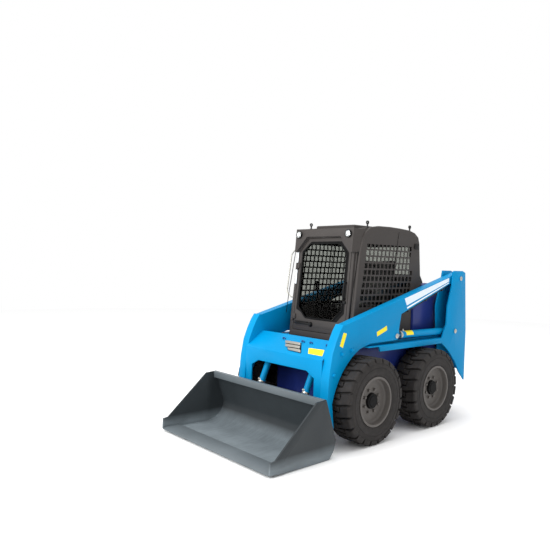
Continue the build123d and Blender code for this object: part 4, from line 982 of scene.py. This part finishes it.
# ---------------------------------------------------------------- wheels
LUG_STATIONS = (  # across from the tyre's middle, leading edge, trailing edge, drop from the tip circle
    (-0.022, -0.052, -0.014, 0.0),
    (0.030, -0.044, -0.008, 0.0),
    (0.037, -0.043, 0.046, 0.0),
    (0.116, -0.026, 0.062, 0.001),
    (0.126, -0.025, 0.061, 0.009),
    (0.1305, -0.024, 0.060, 0.028),
    (0.1305, -0.024, 0.060, 0.044),
)
SIDEWALL = (  # across from the tyre's middle, radius
    (0.101, 0.2135), (0.1155, 0.2225), (0.120, 0.231), (0.1235, 0.238), (0.1225, 0.242),
    (0.1265, 0.252), (0.1295, 0.270), (0.1305, 0.288), (0.1305, 0.296), (0.1275, 0.2985),
    (0.1275, 0.3035), (0.1300, 0.306), (0.1290, 0.322), (0.1260, 0.340), (0.1200, 0.354),
    (0.1120, 0.3615), (0.0, 0.3655),
)


class LOADER_OT_tyres(bpy.types.Operator):
    """Mould the four tyres"""

    bl_idname = "loader.tyres"
    bl_label = "Tyres"

    def execute(self, context):
        sizes = context.scene.loader_sizes
        low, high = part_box("tyre_front_left")
        tip = (high.z - low.z) / 2
        pitch = 2 * math.pi / sizes.lugs

        def edge_points(column):
            points = []
            for station in LUG_STATIONS:
                radius = tip - station[3]
                points.append((station[0], station[column], math.sqrt(radius**2 - station[column] ** 2)))
            return points

        leading, trailing = line_through(edge_points(1)), line_through(edge_points(2))
        lug = joined(leading, trailing)
        edit_edges(lug)
        bpy.ops.mesh.bridge_edge_loops()
        bpy.ops.mesh.normals_make_consistent(inside=False)
        mesh = bmesh.from_edit_mesh(lug.data)
        if sum(face.normal.z for face in mesh.faces) < 0:
            bpy.ops.mesh.flip_normals()
        rest()
        modify(lug, "SOLIDIFY", thickness=sizes.lug_depth + 0.008, offset=-1.0)
        modify(lug, "BEVEL", width=0.0028, segments=1, limit_method="ANGLE", angle_limit=math.radians(40))
        edit(lug)
        rest_of_turn = {"steps": sizes.lugs - 1, "angle": 2 * math.pi - pitch}
        bpy.ops.mesh.spin(**rest_of_turn, center=(0, 0, 0), axis=(1, 0, 0), dupli=True)
        rest()
        half_pitch = Matrix.Rotation(pitch / 2, 4, "X")
        rows = joined(lug, duplicate(lug, half_pitch @ MIRROR))

        across = list(SIDEWALL) + [(-x, r) for x, r in reversed(SIDEWALL[:-1])]
        carcass = turned(across + across[:1], 96, axis=(1, 0, 0))
        tyre = shade(joined(carcass, rows), 32)
        for corner in CORNERS:
            node = "tyre_" + corner
            low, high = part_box(node)
            place = Matrix.Translation((low + high) / 2)
            if corner.endswith("right"):
                place = place @ MIRROR
            fit(duplicate(tyre, place), "lugged_" + node, BODY_OF[node], "tyre_rubber", "tyre", node)
        bpy.data.objects.remove(tyre)
        return {"FINISHED"}


BOLT_CIRCLE = 0.1025
RIM_FACE_X = 0.682  # outer face of a wheel's disc


def hex_head(flats, height):
    """A bolt head standing on +Z: hexagon with a washer face and a chamfered top."""
    rest()
    corner = flats / math.sqrt(3)
    bpy.ops.mesh.primitive_cylinder_add(vertices=6, radius=corner, depth=height, location=(0, 0, height / 2))
    piece = bpy.context.active_object
    bpy.ops.object.transform_apply(location=True, rotation=True, scale=True)
    edit(piece)
    pick(piece, "faces", lambda f: f.normal.z > 0.9)
    bpy.ops.mesh.inset(thickness=flats * 0.09, depth=height * 0.12)
    pick(piece, "faces", lambda f: f.normal.z < -0.9)
    bpy.ops.mesh.extrude_region_move(TRANSFORM_OT_translate={"value": (0, 0, -height * 0.01)})
    rest()
    reach, face = flats * 0.72, height * 0.18
    washer = turned(((0, 0), (reach, 0), (reach, face), (0, face)), 24)
    return joined(piece, washer)


class LOADER_OT_wheel_discs(bpy.types.Operator):
    """Finish the steel wheels with their bolts and hub caps"""

    bl_idname = "loader.wheel_discs"
    bl_label = "Wheel discs"

    def execute(self, context):
        flats = context.scene.loader_sizes.bolt_flats
        bolt = hex_head(flats, 0.017)
        places = []
        for number in range(8):
            turn = math.radians(22.5 + 45 * number)
            spot = (0, BOLT_CIRCLE * math.cos(turn), BOLT_CIRCLE * math.sin(turn))
            places.append(towards((1, 0, 0), spot))
        bolts = spread(bolt, places)
        dome = ((0, 0), (0, 0.072), (0.0235, 0.0662), (0.0248, 0.0645), (0.0248, 0.050))
        cap = turned(dome + ((0.0300, 0.047), (0.0305, 0)), 40, axis=(1, 0, 0))
        for corner in CORNERS:
            node = "rim_" + corner
            low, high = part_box(node)
            middle = (low + high) / 2
            sign = 1 if corner.endswith("left") else -1
            place = Matrix.Translation((sign * RIM_FACE_X, middle.y, middle.z))
            if sign < 0:
                place = place @ MIRROR
            rim = merged(node)
            round_off(rim, 0.0012)
            body = BODY_OF[node]
            fit(rim, "wheel_disc_" + corner, body, "wheel_enamel_grey", "rim_grey", node)
            fit(duplicate(bolts, place), "wheel_bolts_" + corner, body, "wheel_enamel_grey", "black_steel")
            fit(duplicate(cap, place), "hub_cap_" + corner, body, "hose_rubber", "black_plastic")
        bpy.data.objects.remove(bolts)
        bpy.data.objects.remove(cap)
        return {"FINISHED"}


# ---------------------------------------------------------------- arms
ARM_OUTER_X = 0.600
ARM_MIDDLE_X = 0.555
SLOPE_UP = Vector((0, 0.210, 0.143)).normalized()
SLOPE_OUT = Vector((0, -SLOPE_UP.z, SLOPE_UP.y))
SLOPE_FOOT = Vector((0, -0.702, 0.762))
TOWER_OUTER_X = 0.625
CAP_SEAT = 0.0065  # how far outside its plate a cap begins, just inside the pin's head
LIFT_PIVOT = (1.339, 1.481)  # pins' places, as (y, z)
LIFT_BASE, LIFT_EYE = (1.258, 0.916), (0.237, 0.925)
TILT_BASE, TILT_EYE = (-0.500, 0.820), (-0.725, 0.330)


class LOADER_OT_arms(bpy.types.Operator):
    """Shape the lift arms"""

    bl_idname = "loader.arms"
    bl_label = "Lift arms"

    def execute(self, context):
        for side, _ in SIDES:
            node = "arm_" + side
            arm = merged(node)
            round_off(arm, 0.004)
            fit(arm, "lift_arm_plates_" + side, "lift_arms", "powder_coat_light_blue", "light_blue", node)
        return {"FINISHED"}


def on_slope(x, up, out=0.0):
    """A point on the front panel's slope: across, up the slope from its fold, and out of it."""
    return SLOPE_FOOT + Vector((x, 0, 0)) + SLOPE_UP * up + SLOPE_OUT * out


FILMS = (  # on the arms' outer faces: name, finish, outline as (y, z)
    (
        "arm_stripe_wide",
        "vinyl_film_hatched",
        ((0.352, 1.281), (1.150, 1.487), (1.150, 1.447), (0.392, 1.214)),
    ),
    (
        "arm_stripe_narrow",
        "vinyl_film_white",
        ((0.396, 1.196), (1.150, 1.438), (1.150, 1.429), (0.400, 1.180)),
    ),
    (
        "arm_label",
        "vinyl_film_yellow",
        ((-0.070, 0.981), (0.080, 1.031), (0.085, 0.990), (-0.062, 0.940)),
    ),
    (
        "leg_label",
        "vinyl_film_yellow",
        ((-0.535, 1.003), (-0.492, 0.992), (-0.540, 0.872), (-0.580, 0.890)),
    ),
)
PANEL_LABEL = ((0.252, 0.122), (0.436, 0.130), (0.471, 0.053), (0.300, 0.053))  # across, up the slope
SLEEVE_RADIUS = 0.0365  # of a lift cylinder's label, just off its barrel
SLEEVE_START, SLEEVE_LENGTH = 0.72, 0.12  # along the barrel from its base pin


class LOADER_OT_decals(bpy.types.Operator):
    """Stick on the stripes and the blank labels"""

    bl_idname = "loader.decals"
    bl_label = "Stripes and labels"

    def execute(self, context):
        proud = context.scene.loader_sizes.decal_thickness
        for name, finish, outline in FILMS:
            film = both(plate(along_x(outline, ARM_OUTER_X), (proud, 0, 0)))
            fit(film, name, "lift_arms", finish, "light_blue")
        label = plate([on_slope(x, up) for x, up in PANEL_LABEL], SLOPE_OUT * proud)
        fit(label, "panel_label", "lift_arms", "vinyl_film_yellow", "light_blue")

        base, eye = (Vector((ARM_MIDDLE_X, *spot)) for spot in (LIFT_BASE, LIFT_EYE))
        axis = (eye - base).normalized()
        for side, sign in SIDES:
            sleeve = line_through([(0, SLEEVE_RADIUS, 0.0), (0, SLEEVE_RADIUS, SLEEVE_LENGTH)])
            bpy.ops.mesh.select_all(action="SELECT")
            arc = math.radians(95)
            bpy.ops.mesh.spin(steps=12, angle=arc, center=(0, 0, 0), axis=(0, 0, 1), dupli=False)
            put(sleeve, towards(axis, base + axis * SLEEVE_START))
            if sign < 0:
                put(sleeve, MIRROR)
            modify(sleeve, "SOLIDIFY", thickness=0.0008, offset=0.0)
            close_up(sleeve)
            body = "lift_cylinder_" + side
            fit(shade(sleeve), "cylinder_label_" + side, body, "vinyl_film_yellow", "light_blue")
        return {"FINISHED"}


LEG_BOSSES = ((-0.549, 0.816), (-0.421, 0.839), (-0.651, 0.646))
BOSS = ((0, 0), (0.021, 0), (0.021, 0.007), (0.016, 0.0075), (0.016, 0.018), (0.013, 0.020), (0, 0.020))
CAP = ((0, 0), (0.024, 0), (0.024, 0.003), (0.020, 0.0055), (0.006, 0.0055), (0.005, 0.0035), (0, 0.0035))


def outwards(x, spot):
    """The matrix that stands a piece on the left side, pointing outwards, at x and at (y, z)."""
    return towards((1, 0, 0), (x, *spot))


class LOADER_OT_arm_fittings(bpy.types.Operator):
    """Fit the arms' bosses and pin caps, and the front panel's step and hooks"""

    bl_idname = "loader.arm_fittings"
    bl_label = "Arm fittings"

    def execute(self, context):
        boss = turned(BOSS, 24)
        bosses = both(spread(boss, [outwards(ARM_OUTER_X - 0.001, spot) for spot in LEG_BOSSES]))
        fit(bosses, "leg_bosses", "lift_arms", "powder_coat_light_blue", "light_blue")

        cap = turned(CAP, 32)
        pin = both(duplicate(cap, outwards(ARM_OUTER_X + CAP_SEAT, LIFT_EYE)))
        fit(pin, "rod_pin_caps", "lift_arms", "zinc_plate", "black_steel")
        tower_pins = [outwards(TOWER_OUTER_X + CAP_SEAT, spot) for spot in (LIFT_PIVOT, LIFT_BASE)]
        fit(both(spread(cap, tower_pins)), "tower_pin_caps", "machine", "zinc_plate", "black_steel")

        backing = [(-0.088, 0.164), (0.124, 0.163), (0.224, 0.038), (0.046, 0.046)]
        base = plate([on_slope(x, up) for x, up in backing], SLOPE_OUT * 0.004)
        fit(round_off(base, 0.001), "step_backing", "lift_arms", "hose_rubber", "black_steel")
        slats = (
            [(-0.084, 0.160), (0.119, 0.160), (0.141, 0.128), (-0.058, 0.126)],
            [(-0.045, 0.115), (0.149, 0.118), (0.168, 0.086), (-0.018, 0.083)],
            [(0.020, 0.073), (0.183, 0.076), (0.222, 0.041), (0.053, 0.047)],
        )
        treads = [plate([on_slope(x, up) for x, up in slat], SLOPE_OUT * 0.012) for slat in slats]
        fit(round_off(joined(*treads), 0.0015), "step_treads", "lift_arms", "zinc_plate", "black_steel")

        hooks = []
        for start_x, end_x in ((-0.139, -0.111), (0.117, 0.145), (0.221, 0.249), (0.423, 0.451)):
            rod = [
                (start_x, 0.180, -0.002),
                (start_x, 0.184, 0.016),
                (end_x, 0.184, 0.016),
                (end_x, 0.180, -0.002),
            ]
            hooks.append(tube([on_slope(*point) for point in rod], 0.005, bend=0.008))
        fit(joined(*hooks), "panel_hooks", "lift_arms", "powder_coat_navy", "navy")
        return {"FINISHED"}


# ---------------------------------------------------------------- cylinders
CYLINDERS = (  # kind, x, base pin, rod's eye, radius of the gland, length of the barrel
    ("lift", ARM_MIDDLE_X, LIFT_BASE, LIFT_EYE, 0.040, 0.920),
    ("tilt", 0.300, TILT_BASE, TILT_EYE, 0.034, 0.430),
)
PORT = ((0, 0), (0.011, 0), (0.011, 0.014), (0.008, 0.015), (0.008, 0.024), (0, 0.024))
PORT_SHARES = (0.09, 0.93)  # of the barrel's length


class LOADER_OT_cylinder_fittings(bpy.types.Operator):
    """Fit the hydraulic cylinders' glands and ports"""

    bl_idname = "loader.cylinder_fittings"
    bl_label = "Cylinder fittings"

    def execute(self, context):
        for side, sign in SIDES:
            for kind, x, base_spot, eye_spot, radius, reach in CYLINDERS:
                base, eye = Vector((x, *base_spot)), Vector((x, *eye_spot))
                axis = (eye - base).normalized()
                up = Vector((0, axis.z, -axis.y))
                outer = ((radius + 0.001, -0.02), (radius + 0.002, -0.016), (radius + 0.002, -0.004))
                ends = (radius - 0.012, -0.02), (radius - 0.001, 0.001), (radius - 0.014, 0.001)
                gland = turned((ends[0], *outer, *ends[1:]), 40)
                put(gland, towards(axis, base + axis * reach))
                ports = []
                for share in PORT_SHARES:
                    foot = base + axis * (reach * share) + up * (radius - 0.008)
                    ports.append(put(turned(PORT, 20), towards(up, foot)))
                piece = joined(gland, *ports)
                if sign < 0:
                    put(piece, MIRROR)
                fit(piece, f"{kind}_gland_{side}", f"{kind}_cylinder_{side}", "zinc_plate", "black_steel")
        return {"FINISHED"}


# ---------------------------------------------------------------- bucket
LIP_HALF_WIDTH = 0.738


class LOADER_OT_bucket(bpy.types.Operator):
    """Finish the bucket and its top lip"""

    bl_idname = "loader.bucket"
    bl_label = "Bucket"

    def execute(self, context):
        shell = merged("bucket")
        round_off(shell, 0.0022)
        fit(shell, "bucket_shell", "bucket_unit", "rubbed_enamel_bucket", "bucket_grey", "bucket")

        outer = [(-0.8935, 0.5005), (-0.929, 0.4985), (-0.9185, 0.436)]
        inner = [(-0.9155, 0.4365), (-0.9255, 0.4955), (-0.8935, 0.4975)]
        lip = plate(along_x(outer + inner, -LIP_HALF_WIDTH), (2 * LIP_HALF_WIDTH, 0, 0))
        round_off(lip, 0.0008)
        fit(lip, "bucket_lip_band", "bucket_unit", "enamel_bucket_edge", "bucket_grey")
        return {"FINISHED"}


# ---------------------------------------------------------------- stage
CAMERA_SPOT = Vector((3.7679, -4.2337, 1.5735))
CAMERA_YAW, CAMERA_PITCH, CAMERA_ROLL = (math.radians(angle) for angle in (47.742, 1.055, 1.652))
CAMERA_LENS = 36.685
SOFTBOXES = (  # name, place, power, size
    ("key_softbox", (-0.6, -6.6, 3.8), 390.0, 3.6),
    ("top_softbox", (0.2, 0.4, 7.0), 240.0, 5.0),
)
FLOOR_RADIUS = 14.0


class LOADER_OT_stage(bpy.types.Operator):
    """Set the floor, the lights and the camera"""

    bl_idname = "loader.stage"
    bl_label = "Stage"

    def execute(self, context):
        scene = context.scene
        rest()
        bpy.ops.mesh.primitive_circle_add(vertices=96, radius=FLOOR_RADIUS, fill_type="NGON")
        floor = context.active_object
        edit(floor)
        bpy.ops.mesh.inset(thickness=0.4, depth=0.0)
        bpy.ops.mesh.select_all(action="SELECT")
        bpy.ops.mesh.extrude_region_move(TRANSFORM_OT_translate={"value": (0, 0, -0.02)})
        close_up(floor)
        floor.name = "studio_floor"
        floor.data.materials.append(bpy.data.materials["studio_paper"])

        world = bpy.data.worlds.new("soft_room")
        world.use_nodes = True
        background = world.node_tree.nodes["Background"]
        background.inputs["Color"].default_value = (1.0, 1.0, 1.0, 1.0)
        background.inputs["Strength"].default_value = 1.0
        scene.world = world
        for name, spot, power, size in SOFTBOXES:
            lamp = bpy.data.lights.new(name, "AREA")
            lamp.energy = power
            lamp.size = size
            holder = bpy.data.objects.new(name, lamp)
            scene.collection.objects.link(holder)
            aim = Vector((0, 0, 0.7)) - Vector(spot)
            turn = aim.to_track_quat("-Z", "Y").to_matrix().to_4x4()
            holder.matrix_world = Matrix.Translation(spot) @ turn

        data = bpy.data.cameras.new("camera")
        data.lens = CAMERA_LENS
        data.sensor_width = 36.0
        data.clip_end = 60.0
        camera = bpy.data.objects.new("camera", data)
        scene.collection.objects.link(camera)
        level = Vector((math.sin(CAMERA_YAW), -math.cos(CAMERA_YAW), 0))
        back = level * math.cos(CAMERA_PITCH) + Vector((0, 0, math.sin(CAMERA_PITCH)))
        right = Vector((math.cos(CAMERA_YAW), math.sin(CAMERA_YAW), 0))
        up = back.cross(right)
        rolled_right = math.cos(CAMERA_ROLL) * right + math.sin(CAMERA_ROLL) * up
        rolled_up = math.cos(CAMERA_ROLL) * up - math.sin(CAMERA_ROLL) * right
        turn = Matrix((rolled_right, rolled_up, back)).transposed().to_4x4()
        camera.matrix_world = Matrix.Translation(CAMERA_SPOT) @ turn
        scene.camera = camera
        scene.view_settings.view_transform = "Standard"
        return {"FINISHED"}


STEPS = (
    LOADER_OT_finishes,
    LOADER_OT_kept_nodes,
    LOADER_OT_plates,
    LOADER_OT_cab_shell,
    LOADER_OT_door_trim,
    LOADER_OT_cab_fittings,
    LOADER_OT_lamps,
    LOADER_OT_seat,
    LOADER_OT_lever_grips,
    LOADER_OT_engine_cover,
    LOADER_OT_tyres,
    LOADER_OT_wheel_discs,
    LOADER_OT_arms,
    LOADER_OT_decals,
    LOADER_OT_arm_fittings,
    LOADER_OT_cylinder_fittings,
    LOADER_OT_bucket,
    LOADER_OT_stage,
)


class LOADER_PT_panel(bpy.types.Panel):
    """The loader's pieces, in building order"""

    bl_idname = "LOADER_PT_panel"
    bl_label = "Skid Steer Loader"
    bl_space_type = "VIEW_3D"
    bl_region_type = "UI"
    bl_category = "Loader"

    def draw(self, context):
        for step in STEPS:
            self.layout.operator(step.bl_idname)
        for group in (context.scene.loader_sizes, context.scene.loader_colours):
            box = self.layout.box()
            for name in group.__annotations__:
                box.prop(group, name)


CLASSES = (LoaderColours, LoaderSizes, *STEPS, LOADER_PT_panel)


def register():
    for item in CLASSES:
        bpy.utils.register_class(item)
    bpy.types.Scene.loader_colours = bpy.props.PointerProperty(type=LoaderColours)
    bpy.types.Scene.loader_sizes = bpy.props.PointerProperty(type=LoaderSizes)


def unregister():
    del bpy.types.Scene.loader_sizes
    del bpy.types.Scene.loader_colours
    for item in reversed(CLASSES):
        bpy.utils.unregister_class(item)


def main():
    register()
    for step in STEPS:
        group, name = step.bl_idname.split(".")
        getattr(getattr(bpy.ops, group), name)()
    rest()


if __name__ == "__main__":
    main()
